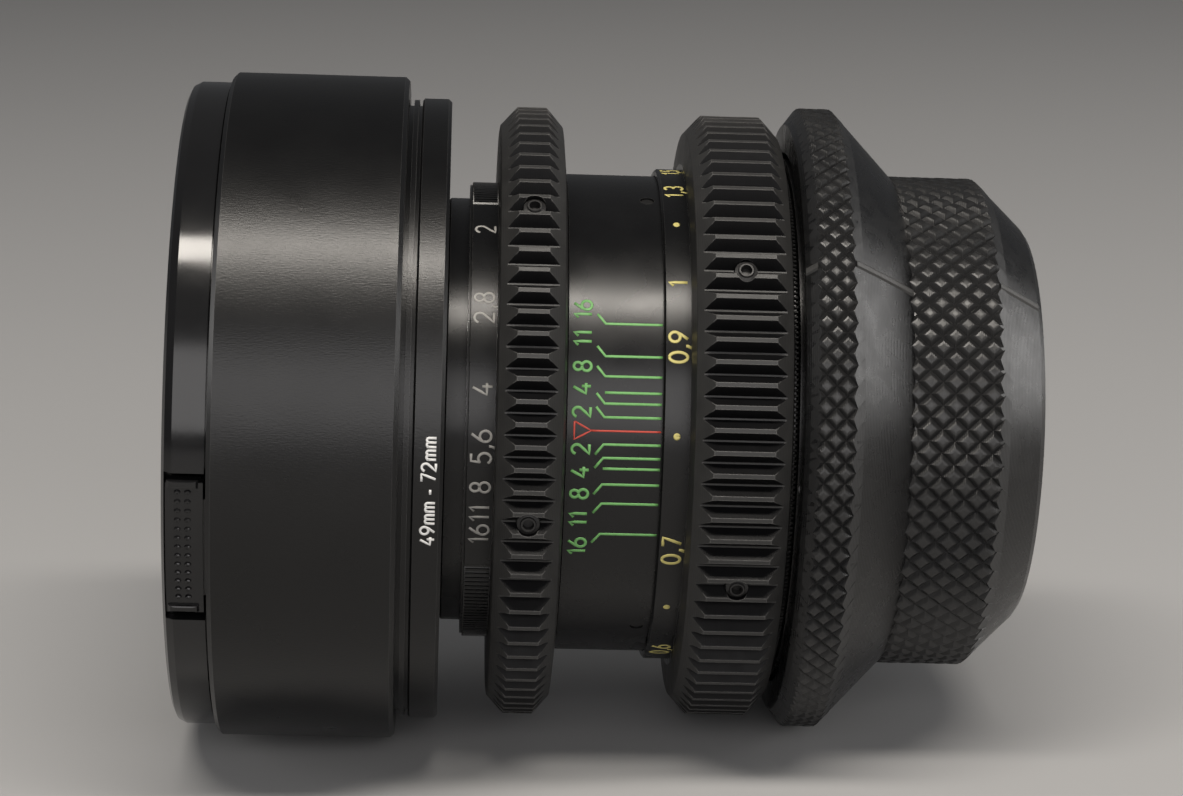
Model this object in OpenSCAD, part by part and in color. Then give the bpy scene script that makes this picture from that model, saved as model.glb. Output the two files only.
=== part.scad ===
// Geared manual cinema lens lying on its side, with its front and rear caps on.
// The optical axis runs along X, the front faces -X, and the mount's flange face is at the origin.
// It is focused at 0.8 m and set between f/4 and f/5.6.

/* [Fits] */
// Radial clearance of turning and sliding fits
run_fit = 0.08; // [0.03:0.01:0.1]
// Radial clearance between pieces fixed to one another
seat_fit = 0.03; // [0.02:0.01:0.05]
// Axial clearance between turning pieces
end_gap = 0.1; // [0.05:0.05:0.2]

/* [Front clamp ring] */
// Outer diameter of the front clamp ring
front_ring_d = 80; // [72:0.5:95]
// Length of the front clamp ring
front_ring_l = 20.95; // [16:0.05:30]
// Wall of the front clamp ring at its filter thread
front_wall = 1.8; // [1.2:0.1:2.4]
// Edge break of the front clamp ring
front_ring_edge = 0.5; // [0.2:0.1:1]
// Length of the neck behind the front clamp ring
neck_l = 1.6; // [1:0.1:3]

/* [Step-up ring] */
// Drop in radius from the front clamp ring to the step-up ring's large thread
step_drop = 4; // [3.5:0.1:5]
// Wall outside the large thread
step_wall = 1.5; // [1:0.1:2.2]
// Length of the step-up ring
step_l = 3.5; // [3:0.1:5]
// Depth of the large thread
step_pocket = 2.6; // [2:0.1:2.7]
// Length of the small thread
step_screw_l = 2; // [1.2:0.1:2.1]

/* [Control rings] */
// Length of the front rim that carries the filter thread
rim_l = 2.4; // [2.3:0.1:4]
// Wall of the front rim
rim_wall = 1.1; // [0.9:0.1:1.8]
// Length of the preset ring
preset_l = 3.4; // [3:0.1:5]
// Wall of the preset ring
preset_wall = 2.87; // [2:0.01:3.5]
// Depth of the preset ring's ribs
rib_depth = 0.3; // [0.1:0.05:0.4]
// Ribs in a full turn of the preset ring
rib_turn = 231; // [120:1:300]
// Wall of the aperture ring
aperture_wall = 2.82; // [2:0.01:3.5]
// Turn of the aperture ring from rest to fully open
open_turn = 54.1; // [45:0.1:60]
// Turn of the aperture ring from rest to fully closed
close_turn = 27.8; // [20:0.1:30]

/* [Gear rings] */
// Module of both gear rings
gear_module = 0.8; // [0.75:0.01:0.85]
// Teeth of the aperture gear ring
aperture_teeth = 90; // [86:1:96]
// Teeth of the focus gear ring
focus_teeth = 89; // [86:1:96]
// Width of a tooth's top land
tooth_land = 0.5; // [0.4:0.05:0.8]
// Length of the aperture gear ring
aperture_gear_l = 7.9; // [7:0.1:10]
// Length of the aperture gear's top land
aperture_land_l = 3.3; // [2:0.1:3.6]
// Length of the focus gear ring
focus_gear_l = 11.6; // [10:0.1:13]
// Length of the focus gear's top land
focus_land_l = 6.7; // [4:0.1:7]
// Diameter of the gear rings' grub screws
grub_d = 2; // [1.6:0.1:2.4]

/* [Barrel] */
// Wall of the helicoid barrel
heli_wall = 1.72; // [1.4:0.02:2.2]
// Wall of the brass focus helicoid
brass_wall = 1.5; // [1.2:0.1:2]
// Wall of the core barrel's skirt
skirt_wall = 1.4; // [1.1:0.1:1.8]
// Wall of the core barrel's front tube
core_wall = 1.6; // [1.3:0.1:2]
// Wall of the depth-scale barrel
scale_wall = 1.45; // [1:0.05:1.6]
// Length of the depth scale that shows at rest
scale_l = 11; // [8:0.5:14]

/* [Focus] */
// Travel of the optics from rest back to infinity
focus_back = 4.95; // [4:0.05:5.5]
// Travel of the optics from rest forward to the nearest focus
focus_forward = 4.02; // [3:0.02:5]
// Wall of the distance ring's lip
lip_wall = 0.82; // [0.7:0.02:1.2]
// Step up from the distance ring to the focus grip
grip_step = 0.7; // [0.6:0.1:1.5]
// Width of a guide key
key_w = 5; // [3:0.5:7]

/* [Iris] */
// Opening radius of the iris at full aperture
stop_r = 11.7; // [11.6:0.05:12.4]
// Opening radius of the iris at its smallest
stop_min = 1.45; // [1:0.05:2.5]
// Width of an iris blade
blade_w = 5.5; // [5:0.1:6]
// Thickness of an iris blade
blade_t = 0.15; // [0.1:0.01:0.18]
// Spacing of the blades' planes
blade_pitch = 0.25; // [0.22:0.01:0.3]
// Lever from a blade's pivot to its drive pin
lever_l = 5.5; // [5:0.1:6]
// Radius of the blades' pins
pin_r = 0.4; // [0.3:0.05:0.45]

/* [Optics] */
// Radius of the front element
l1_r = 18; // [17:0.1:18.6]
// Radius of the front doublet
l2_r = 15; // [14.5:0.1:16]
// Radius of the rear doublet
l4_r = 13.5; // [13:0.1:14.5]
// Radius of the rear element
l6_r = 14.5; // [14:0.1:15.5]
// Centre thickness of the front element
l1_t = 4.8; // [4.6:0.1:6]
// Centre thickness of the front doublet's crown
l2_t = 6.2; // [6:0.1:7]
// Centre thickness of the rear doublet's crown
l5_t = 6.4; // [6.2:0.1:7.5]
// Centre thickness of the rear element
l6_t = 4.6; // [4.3:0.1:6]

/* [Mount] */
// Diameter over the bayonet lugs
lug_d = 53.9; // [53:0.1:55]
// Thickness of the bayonet flange
adapter_t = 1.5; // [1.2:0.1:2.5]
// Length of the bayonet barrel behind the flange
bayonet_l = 4.2; // [3.8:0.1:6]
// Thickness of a bayonet lug
lug_t = 1.5; // [1:0.1:1.7]
// Angle that one bayonet lug spans
lug_angle = 56; // [40:1:70]
// Thickness of the base disc
base_t = 1.9; // [1.6:0.1:3]
// Wall of the threaded tail
tail_wall = 2.4; // [1.8:0.1:2.8]

/* [Front cap] */
// Thickness of the front cap's rim
cap_t = 4.8; // [4.5:0.1:6]
// Gap between the front cap and the front clamp ring
cap_gap = 0.25; // [0.15:0.05:1.5]
// Half width of a pinch tab's pad
pad_hw = 8.1; // [6.8:0.1:8.6]
// Travel of a pinch tab
pinch = 2.5; // [1.5:0.1:2.6]
// Clock angle of the pinch tabs, down from the side that faces the viewer
pinch_angle = 25.5; // [0:0.5:60]

/* [Rear cap] */
// Wall of the rear cap's lip at its front face
rear_lip = 3.3; // [2:0.1:3.5]
// Height of the rear cap's wide band over its mouth
rear_band = 4.85; // [4:0.05:6]
// Length of the rear cap's wide band
rear_band_l = 4.45; // [3:0.05:7]
// Length of the rear cap's taper
rear_taper_l = 7.5; // [5:0.1:10]
// Length of the rear cap's narrow barrel
rear_barrel_l = 10.2; // [7:0.1:13]
// Length of the rear cap's end chamfer
rear_end_l = 6; // [5:0.1:7]
// Wall of the rear cap's narrow barrel
rear_wall = 2.1; // [1.6:0.1:2.6]

/* [Hidden] */
$fn = 96;

// Margins that keep moving pieces apart
air = 0.3;
cut = 1;

// Iris geometry: the blades swing about pivots on one circle, in step with the aperture ring
pin_fit = 0.06;
pivot_r = stop_r + blade_w + 0.8;
boss_r = 0.8;
blade_n = 8;
ap_turn = open_turn + close_turn;
blade_swing = 2 * asin((stop_r - stop_min) / (2 * pivot_r));
blade_ratio = blade_swing / ap_turn;
blade_rest = blade_ratio * open_turn;
blade_sweep = 116;
lever_0 = 90 - blade_swing / 2;
function drive_at(swing) = [
    pivot_r + lever_l * cos(lever_0 + swing),
    lever_l * sin(lever_0 + swing)
];
function turned(p, a) = [p[0] * cos(a) - p[1] * sin(a), p[0] * sin(a) + p[1] * cos(a)];
function slot_at(a) = turned(drive_at(blade_ratio * a), a - open_turn);
slot_steps = 20;
slot_hw = pin_r + pin_fit;
drive_r = norm(drive_at(0));

// Radii, from the iris outward
cam_rim = 1.24;
cam_wall = 0.78;
cam_r = drive_r + pin_r + cam_rim;
cam_in_r = cam_r - cam_wall;
cell_r = cam_in_r - run_fit;
heli_in_r = cam_r + 0.5;
heli_r = heli_in_r + heli_wall;
brass_in_r = heli_r + run_fit;
brass_r = brass_in_r + brass_wall;
skirt_in_r = brass_r + air;
skirt_r = skirt_in_r + skirt_wall;
scale_in_r = skirt_r + seat_fit;
scale_r = scale_in_r + scale_wall;
lip_in_r = scale_r + run_fit;
distance_r = lip_in_r + lip_wall;
grip_r = distance_r + grip_step;
core_in_r = heli_in_r + 0.6;
core_r = core_in_r + core_wall;
ring_in_r = core_r + run_fit;
aperture_r = ring_in_r + aperture_wall;
preset_r = ring_in_r + preset_wall;
rim_thread_r = core_r - 0.1;
rim_r = rim_thread_r + rim_wall;

// Radii of the turning focus assembly and of the base it turns on
brass_flange_r = brass_r + 1.9;
spigot_bore_r = brass_flange_r + 0.8;
spigot_r = spigot_bore_r - run_fit;
pocket_r = spigot_r - 1.1;
retainer_r = pocket_r - 0.2;
base_r = grip_r + 1;
flange_r = base_r + 0.5;

// Radii of the mount
rear_cell_r = l6_r + seat_fit + 2.47;
tail_in_r = rear_cell_r + 1.6;
tail_r = tail_in_r + tail_wall;
lug_r = lug_d / 2;
bayonet_r = lug_r - 1.65;

// Radii of the front pieces
front_ring_r = front_ring_d / 2;
front_bore_r = front_ring_r - front_wall;
step_thread_r = front_ring_r - step_drop;
step_r = step_thread_r + step_wall;
step_bore_r = rim_thread_r - 1.5;
neck_r = step_r - 0.5;
cap_r = front_bore_r + 0.55;

// Axial stations, from the flange face at zero forward
z_disc = -adapter_t;
z_base = z_disc - base_t;
z_focus_rear = z_base - end_gap;
retainer_t = 1.3;
lip_t = 1.5;
brass_flange_t = 1;
web_t = 1.1;
z_retainer_rear = z_base - 0.5;
z_retainer = z_retainer_rear - retainer_t;
z_lip_rear = z_retainer - end_gap;
z_lip = z_lip_rear - lip_t;
z_brass_flange_rear = z_lip - end_gap;
z_brass_flange = z_brass_flange_rear - brass_flange_t;
z_web = z_brass_flange - web_t;
scale_cover = 0.48;
z_scale_rear = z_web - 0.35 - focus_back;
z_focus = z_scale_rear - focus_forward - scale_cover;
z_gear_rear = z_focus - scale_l;
z_ap = z_gear_rear - aperture_gear_l;
z_preset = z_ap - preset_l;
z_rim = z_preset - rim_l;
z_step = z_rim - step_l;
z_ring_rear = z_step - neck_l;
z_ring = z_ring_rear - front_ring_l;
z_cap_rear = z_ring - cap_gap;
z_cap = z_cap_rear - cap_t;
core_flange_t = 1.4;
heli_flange_t = 1.2;
z_core_flange = z_gear_rear + 0.2;
z_heli = z_core_flange + core_flange_t;
z_heli_rear = z_base - focus_back - 0.65;
z_brass = z_heli + heli_flange_t + focus_back + 0.25;
skirt_back = 4.2;
z_skirt_rear = z_scale_rear - skirt_back;
z_scale_screw = z_skirt_rear - 1.8;
key_hold = 2;
z_key = z_heli_rear - focus_forward - key_hold;
key_r = heli_in_r + 0.8;
key_in_r = heli_in_r - 1.1;
key_foot_r = tail_in_r + 0.6;
key_foot_t = 1.2;
key_fit = 0.15;

// Optics: surface radii, air spaces and the stations that follow from them
r1 = 36.6;
r2 = 146;
r3 = 22;
r4 = 100;
r5 = 16;
r6 = 17;
r7 = 50;
r8 = 25.5;
r9 = 150;
r10 = 36;
l3_t = 1;
l4_t = 1.6;
l3_clear = 11.6;
l4_clear = 11.4;
air_1 = 0.6;
air_5 = 0.5;
cement = 0.02;
function sag(radius, at) = radius - sqrt(radius * radius - at * at);
z_l1 = z_preset + 1.1;
z_l1_rear = z_l1 + l1_t;
z_l2 = z_l1_rear + air_1;
z_l3 = z_l2 + l2_t;
z_l3_rear = z_l3 + l3_t;
z_l3_face = z_l3_rear + sag(r5, l3_clear);
doublet_ring_t = 0.8;
z_cell_rear = z_l3_face + doublet_ring_t + 0.05;
z_l1_seat = z_l1_rear + sag(r2, l1_r) + 0.04;
l2_shoulder_r = l2_r - 0.7;
z_l2_seat = z_l2 + sag(r3, l2_shoulder_r) - 0.08;
cam_t = 0.7;
z_cam_floor = z_cell_rear + 0.4;
z_blade = z_cam_floor + cam_t + 0.12;
z_seat = z_blade + (blade_n - 1) * blade_pitch + blade_t + 0.15;
seat_t = 1.2;
z_seat_rear = z_seat + seat_t;
z_l4_face = z_seat_rear + 0.1;
z_l4 = z_l4_face + sag(r6, l4_clear);
z_l5 = z_l4 + l4_t;
z_l5_rear = z_l5 + l5_t;
z_l6 = z_l5_rear + air_5;
z_l6_rear = z_l6 + l6_t;
z_rear_cell = z_seat_rear + 0.05;
z_rear_cell_rear = z_l6_rear + 1.1;
l5_shoulder_r = l4_r - 0.9;
z_l5_seat = z_l5_rear - sag(r8, l5_shoulder_r) + 0.08;
z_l6_seat = z_l6 + sag(r9, l5_shoulder_r) - 0.05;
cell_flange_r = cell_r + 0.5;
z_cell = z_preset + 0.1;
cell_clamp_l = 2.6;
z_clamp = z_preset + cell_clamp_l;
z_cell_shoulder = z_clamp + 3.3;
z_cam = z_cell_shoulder + 0.15;
drive_pin_r = 1;
z_drive = z_cam + 2;
drive_angle = 100;

// A profile of radius and station points, turned about the optical axis
module turn(points) {
    rotate_extrude() polygon(points);
}

// A plain ring between two radii and two stations
module ring(inner, outer, from, to) {
    rotate_extrude() translate([inner, from]) square([outer - inner, to - from]);
}

// A round pin that points outward from the optical axis
module spoke(inner, outer, radius, angle, station) {
    rotate([0, 0, angle]) translate([inner, 0, station]) rotate([0, 90, 0])
        cylinder(h = outer - inner, r = radius);
}

// A round pin that runs along the optical axis
module stud(at_r, radius, angle, from, to) {
    rotate([0, 0, angle]) translate([at_r, 0, from]) cylinder(h = to - from, r = radius);
}

// The lens is modelled along its axis, then laid down with its front to -X and rolled on its side
lie_roll = -14;
module lay() {
    rotate([0, 90, 0]) rotate([0, 0, lie_roll]) children();
}

// Base that carries the mount
base_screw_angles = [45, 165, 285];
adapter_screw_angles = [0, 90, 180, 270];
adapter_screw_at = (pocket_r + base_r) / 2 + 0.2;
small_screw_r = 0.8;
module base_barrel() {
    color("dimgray") lay() difference() {
        turn([
            [brass_r + run_fit, z_lip], [spigot_r, z_lip], [spigot_r, z_base], [base_r, z_base],
            [base_r, z_disc], [pocket_r, z_disc], [pocket_r, z_lip_rear], [brass_r + run_fit, z_lip_rear]
        ]);
        for (a = base_screw_angles) {
            spoke(pocket_r - cut, base_r + cut, small_screw_r + seat_fit, a, (z_base + z_disc) / 2);
        }
        for (a = adapter_screw_angles) {
            stud(adapter_screw_at, small_screw_r + seat_fit, a, z_disc - 1.3, z_disc + cut);
        }
    }
}

plate_screw_in_r = pocket_r - 1.6;
module rear_plate() {
    color("gray") lay() difference() {
        turn([
            [tail_in_r, z_base], [pocket_r - seat_fit, z_base], [pocket_r - seat_fit, z_disc],
            [tail_r, z_disc],
            [tail_r, bayonet_l - 0.6], [tail_in_r, bayonet_l - 0.6]
        ]);
        for (a = base_screw_angles) {
            spoke(plate_screw_in_r, pocket_r + cut, small_screw_r + seat_fit, a, (z_base + z_disc) / 2);
        }
        for (a = key_angles) {
            stud(key_screw_at, small_screw_r + seat_fit, a, z_base - cut, z_base + 1.3);
        }
    }
}

module rear_plate_screws() {
    color("silver") lay() for (a = base_screw_angles) {
        spoke(plate_screw_in_r + 0.1, base_r - 0.1, small_screw_r, a, (z_base + z_disc) / 2);
    }
}

key_angles = [0, 180];
key_screw_at = (key_foot_r + key_in_r) / 2;
module guide_keys() {
    color("darkgray") lay() for (a = key_angles) {
        difference() {
            rotate([0, 0, a]) union() {
                translate([key_in_r, -key_w / 2, z_key]) cube([key_r - key_in_r, key_w, z_base - z_key]);
                translate([key_foot_r, -key_w / 2, z_base - key_foot_t])
                    cube([key_in_r - key_foot_r + 0.1, key_w, key_foot_t]);
            }
            stud(key_screw_at, small_screw_r + seat_fit, a, z_base - key_foot_t - cut, z_base + cut);
        }
    }
}

module guide_key_screws() {
    color("silver") lay() for (a = key_angles) {
        stud(key_screw_at, small_screw_r, a, z_base - key_foot_t, z_base + 1.2);
    }
}

lug_phase = 20;
lug_back = 0.5;
lock_slot_r = 1.1;
module mount_adapter() {
    color("silver") lay() difference() {
        union() {
            turn([
                [tail_r + seat_fit, z_disc], [flange_r - 0.3, z_disc], [flange_r, z_disc + 0.3],
                [flange_r, 0],
                [bayonet_r, 0], [bayonet_r, bayonet_l - 0.3], [bayonet_r - 0.3, bayonet_l],
                [tail_r + seat_fit, bayonet_l]
            ]);
            for (k = [0:2]) {
                rotate([0, 0, lug_phase + k * 120]) rotate_extrude(angle = lug_angle)
                    translate([bayonet_r - 0.5, bayonet_l - lug_back - lug_t])
                        square([lug_r - bayonet_r + 0.5, lug_t]);
            }
        }
        for (a = adapter_screw_angles) {
            stud(adapter_screw_at, small_screw_r + seat_fit, a, z_disc - cut, cut);
            stud(adapter_screw_at, screw_head_r + seat_fit, a, -screw_head_t, cut);
        }
        stud((bayonet_r + flange_r) / 2, lock_slot_r, 45, z_disc / 2, cut);
    }
}

screw_head_r = 1.4;
screw_head_t = 0.8;
module adapter_screws() {
    color("silver") lay() for (a = adapter_screw_angles) {
        stud(adapter_screw_at, small_screw_r, a, z_disc - 1.2, -screw_head_t / 2);
        stud(adapter_screw_at, screw_head_r, a, -screw_head_t, -0.05);
    }
}

// Focus ring and the brass helicoid it turns
focus_screw_angles = [45, 165, 285];
focus_screw_at = brass_r + 1.02;
focus_screw_r = 0.6;
focus_head_r = 0.9;
distance_l = 3.3;
lip_l = 3.9;
module focus_ring() {
    color("black") lay() difference() {
        turn([
            [lip_in_r, z_focus], [distance_r - 0.25, z_focus], [distance_r, z_focus + 0.25],
            [distance_r, z_focus + distance_l - 0.2], [grip_r, z_focus + distance_l - 0.2],
            [grip_r, z_focus_rear - 0.3], [grip_r - 0.3, z_focus_rear], [spigot_bore_r, z_focus_rear],
            [spigot_bore_r, z_brass_flange_rear + 0.05],
            [brass_flange_r + seat_fit, z_brass_flange_rear + 0.05],
            [brass_flange_r + seat_fit, z_brass_flange], [brass_r + seat_fit, z_brass_flange],
            [brass_r + seat_fit, z_web], [lip_in_r + 0.27, z_web], [lip_in_r + 0.27, z_focus + lip_l],
            [lip_in_r, z_focus + lip_l]
        ]);
        for (a = focus_screw_angles) {
            stud(focus_screw_at, focus_screw_r + seat_fit, a, z_web - cut, z_brass_flange + cut);
            stud(focus_screw_at, focus_head_r + seat_fit, a, z_web - cut, z_web + 0.6);
        }
    }
}

module focus_ring_screws() {
    color("silver") lay() for (a = focus_screw_angles) {
        stud(focus_screw_at, focus_screw_r, a, z_web + 0.3, z_brass_flange_rear - 0.05);
        stud(focus_screw_at, focus_head_r, a, z_web + 0.05, z_web + 0.6);
    }
}

module focus_helicoid() {
    color("goldenrod") lay() difference() {
        turn([
            [brass_in_r, z_brass], [brass_r, z_brass], [brass_r, z_brass_flange],
            [brass_flange_r, z_brass_flange], [brass_flange_r, z_brass_flange_rear],
            [brass_r, z_brass_flange_rear],
            [brass_r, z_retainer_rear], [brass_in_r, z_retainer_rear]
        ]);
        for (a = focus_screw_angles) {
            stud(focus_screw_at, focus_screw_r + seat_fit, a, z_brass_flange - cut,
                z_brass_flange_rear + cut);
        }
    }
}

module helicoid_retainer() {
    color("darkgoldenrod") lay() ring(brass_r + seat_fit, retainer_r, z_retainer, z_retainer_rear);
}

// Gear rings: straight teeth cut by one outline, with the crown's chamfers turned over them
tooth_depth = 1.7 * gear_module;
root_gap = 0.22;
function tip_r(teeth) = gear_module * (teeth + 2) / 2;
function tooth(teeth, i) =
    let (
        tip = tip_r(teeth),
        root = tip - tooth_depth,
        pitch = 360 / teeth,
        half_tip = tooth_land / 2 / tip * 180 / PI,
        half_root = (pitch - root_gap / root * 180 / PI) / 2,
        mid = (i + 0.5) * pitch
    ) [
        [root * cos(mid - half_root), root * sin(mid - half_root)],
        [tip * cos(mid - half_tip), tip * sin(mid - half_tip)],
        [tip * cos(mid + half_tip), tip * sin(mid + half_tip)],
        [root * cos(mid + half_root), root * sin(mid + half_root)]
    ];
module gear_blank(teeth, from, length) {
    translate([0, 0, from]) linear_extrude(height = length)
        polygon([for (i = [0:teeth - 1]) for (p = tooth(teeth, i)) p]);
}

gear_screw_n = 6;
grub_r = grub_d / 2;
grub_mouth_r = grub_r + 0.35;
tooth_chamfer = 2.2;
module grub_hole(seat_r, root, tip, angle, station) {
    spoke(seat_r - cut, tip + cut, grub_r + seat_fit, angle, station);
    spoke(root - 0.25, tip + cut, grub_mouth_r, angle, station);
}
z_focus_gear = z_focus_rear - 0.6 - focus_gear_l;
focus_gear_rear = z_focus_rear - 0.6;
focus_tip_r = tip_r(focus_teeth);
focus_root_r = focus_tip_r - tooth_depth;
focus_gear_bore_r = grip_r + seat_fit;
focus_land = z_focus_gear + 2.4;
focus_land_rear = focus_land + focus_land_l;
focus_gear_phase = -57;
focus_grub_at = focus_land + focus_land_l / 2;
module focus_gear() {
    color("darkslategray") lay() difference() {
        intersection() {
            rotate([0, 0, focus_gear_phase]) gear_blank(focus_teeth, z_focus_gear, focus_gear_l);
            turn([
                [focus_gear_bore_r, z_focus_gear], [focus_gear_bore_r + 0.5, z_focus_gear],
                [focus_tip_r - tooth_chamfer, focus_land - 2.1], [focus_tip_r + 0.1, focus_land],
                [focus_tip_r + 0.1, focus_land_rear],
                [focus_tip_r - tooth_chamfer, focus_land_rear + 2.1],
                [focus_gear_bore_r + 1, focus_gear_rear], [focus_gear_bore_r, focus_gear_rear]
            ]);
        }
        for (k = [0:gear_screw_n - 1]) {
            grub_hole(grip_r, focus_root_r, focus_tip_r, focus_gear_phase + k * 60, focus_grub_at);
        }
    }
}

module focus_gear_screws() {
    color("silver") lay() for (k = [0:gear_screw_n - 1]) {
        spoke(grip_r + 0.05, focus_root_r - 0.2, grub_r, focus_gear_phase + k * 60, focus_grub_at);
    }
}

aperture_tip_r = tip_r(aperture_teeth);
aperture_root_r = aperture_tip_r - tooth_depth;
aperture_gear_bore_r = aperture_r + seat_fit;
aperture_land = z_ap + 2.2;
aperture_land_rear = aperture_land + aperture_land_l;
aperture_gear_phase = -69.5;
aperture_grub_at = aperture_land + aperture_land_l / 2;
module aperture_gear() {
    color("darkslategray") lay() difference() {
        intersection() {
            rotate([0, 0, aperture_gear_phase]) gear_blank(aperture_teeth, z_ap, aperture_gear_l);
            turn([
                [aperture_gear_bore_r, z_ap], [aperture_tip_r - tooth_chamfer - 0.6, z_ap],
                [aperture_tip_r - tooth_chamfer, aperture_land - 2.1],
                [aperture_tip_r + 0.1, aperture_land],
                [aperture_tip_r + 0.1, aperture_land_rear],
                [aperture_tip_r - tooth_chamfer, aperture_land_rear + 2],
                [scale_r + 1.6, z_gear_rear], [aperture_gear_bore_r, z_gear_rear]
            ]);
        }
        for (k = [0:gear_screw_n - 1]) {
            grub_hole(aperture_r, aperture_root_r, aperture_tip_r, aperture_gear_phase + k * 60,
                aperture_grub_at);
        }
    }
}

module aperture_gear_screws() {
    color("silver") lay() for (k = [0:gear_screw_n - 1]) {
        spoke(aperture_r + 0.05, aperture_root_r - 0.2, grub_r, aperture_gear_phase + k * 60,
            aperture_grub_at);
    }
}

// Barrels that carry the optics along the axis
core_screw_angles = [50, 170, 290];
core_screw_at = (core_r + skirt_in_r) / 2;
core_screw_r = 0.5;
scale_screw_angles = [-30, 90, 210];
module core_barrel() {
    color("gray") lay() difference() {
        turn([
            [core_in_r, z_preset], [core_r, z_preset], [core_r, z_core_flange], [skirt_r, z_core_flange],
            [skirt_r, z_skirt_rear], [skirt_in_r, z_skirt_rear], [skirt_in_r, z_heli],
            [heli_in_r, z_heli],
            [heli_in_r, z_cell_shoulder], [core_in_r, z_cell_shoulder]
        ]);
        rotate([0, 0, drive_angle - close_turn - 3]) rotate_extrude(angle = ap_turn + 6)
            translate([heli_in_r - cut, z_drive - drive_pin_r - 0.15])
            square([core_r - heli_in_r + 2 * cut, 2 * (drive_pin_r + 0.15)]);
        for (a = core_screw_angles) {
            stud(core_screw_at, core_screw_r + seat_fit, a, z_core_flange - cut, z_heli + cut);
        }
        for (a = scale_screw_angles) {
            spoke(skirt_r - 0.7, skirt_r + cut, small_screw_r + seat_fit, a, z_scale_screw);
        }
    }
}

module core_screws() {
    color("silver") lay() for (a = core_screw_angles) {
        stud(core_screw_at, core_screw_r, a, z_core_flange + 0.05, z_heli + heli_flange_t - 0.1);
    }
}

seat_screw_angles = [60, 120, 240, 300];
seat_screw_r = 0.5;
seat_screw_in_r = heli_in_r - 1.2;
z_seat_screw = (z_seat + z_seat_rear) / 2;
module helicoid_barrel() {
    color("darkgray") lay() difference() {
        turn([
            [heli_in_r, z_heli], [skirt_in_r - 0.1, z_heli], [skirt_in_r - 0.1, z_heli + heli_flange_t],
            [heli_r, z_heli + heli_flange_t], [heli_r, z_heli_rear], [heli_in_r, z_heli_rear]
        ]);
        for (a = key_angles) {
            rotate([0, 0, a]) translate([heli_in_r - cut, -key_w / 2 - key_fit, z_key - focus_back - 0.3])
                cube([key_r - heli_in_r + cut + key_fit, key_w + 2 * key_fit,
                    z_heli_rear - z_key + focus_back + cut]);
        }
        for (a = core_screw_angles) {
            stud(core_screw_at, core_screw_r + seat_fit, a, z_heli - cut, z_heli + heli_flange_t + cut);
        }
        for (a = seat_screw_angles) {
            spoke(heli_in_r - cut, heli_r + cut, seat_screw_r + seat_fit, a, z_seat_screw);
        }
    }
}

module scale_barrel() {
    color("black") lay() difference() {
        ring(scale_in_r, scale_r, z_core_flange, z_scale_rear);
        for (a = scale_screw_angles) {
            spoke(scale_in_r - cut, scale_r + cut, small_screw_r + seat_fit, a, z_scale_screw);
        }
    }
}

module scale_barrel_screws() {
    color("silver") lay() for (a = scale_screw_angles) {
        spoke(skirt_r - 0.65, scale_r - 0.25, small_screw_r, a, z_scale_screw);
    }
}

// Front rim, step-up ring and clamp ring, screwed to one another
rim_floor = 0.2;
clamp_in_r = cell_flange_r + 0.1;
module front_rim() {
    color("black") lay() turn([
        [rim_thread_r, z_rim], [rim_r - 0.2, z_rim], [rim_r, z_rim + 0.2], [rim_r, z_preset],
        [core_in_r - seat_fit, z_preset], [core_in_r - seat_fit, z_clamp], [clamp_in_r, z_clamp],
        [clamp_in_r, z_preset - rim_floor], [rim_thread_r, z_preset - rim_floor]
    ]);
}

module step_up_ring() {
    color("black") lay() turn([
        [step_thread_r, z_step], [step_r - 0.25, z_step], [step_r, z_step + 0.25], [step_r, z_rim - 0.4],
        [step_r - 0.4, z_rim], [rim_thread_r - seat_fit, z_rim],
        [rim_thread_r - seat_fit, z_rim + step_screw_l],
        [step_bore_r, z_rim + step_screw_l], [step_bore_r, z_step + step_pocket],
        [step_thread_r, z_step + step_pocket]
    ]);
}

male_wall = 1.6;
male_l = step_pocket - 0.2;
ring_web = 1.5;
shadow_l = neck_l * 0.38;
collar_l = neck_l * 0.36;
module front_ring() {
    male_r = step_thread_r - seat_fit;
    color("black") lay() turn([
        [front_bore_r, z_ring], [front_ring_r - front_ring_edge, z_ring],
        [front_ring_r, z_ring + front_ring_edge],
        [front_ring_r, z_ring_rear - front_ring_edge], [front_ring_r - front_ring_edge, z_ring_rear],
        [neck_r - 0.4, z_ring_rear], [neck_r - 0.4, z_ring_rear + shadow_l],
        [neck_r + 0.3, z_ring_rear + shadow_l], [neck_r + 0.3, z_ring_rear + shadow_l + collar_l],
        [neck_r - 0.4, z_ring_rear + shadow_l + collar_l],
        [neck_r - 0.4, z_step], [male_r, z_step], [male_r, z_step + male_l],
        [male_r - male_wall, z_step + male_l],
        [male_r - male_wall, z_ring_rear - ring_web], [front_bore_r, z_ring_rear - ring_web]
    ]);
}

// Optical cells and their retaining rings
module front_cell() {
    color("dimgray") lay() turn([
        [l1_r + seat_fit, z_cell], [cell_flange_r, z_cell], [cell_flange_r, z_clamp + 0.05],
        [core_in_r - seat_fit, z_clamp + 0.05], [core_in_r - seat_fit, z_cell_shoulder - 0.02],
        [cell_r, z_cell_shoulder - 0.02], [cell_r, z_cell_rear], [l2_r + seat_fit, z_cell_rear],
        [l2_r + seat_fit, z_l2_seat], [l2_shoulder_r, z_l2_seat], [l2_shoulder_r, z_l1_seat],
        [l1_r + seat_fit, z_l1_seat]
    ]);
}

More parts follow.
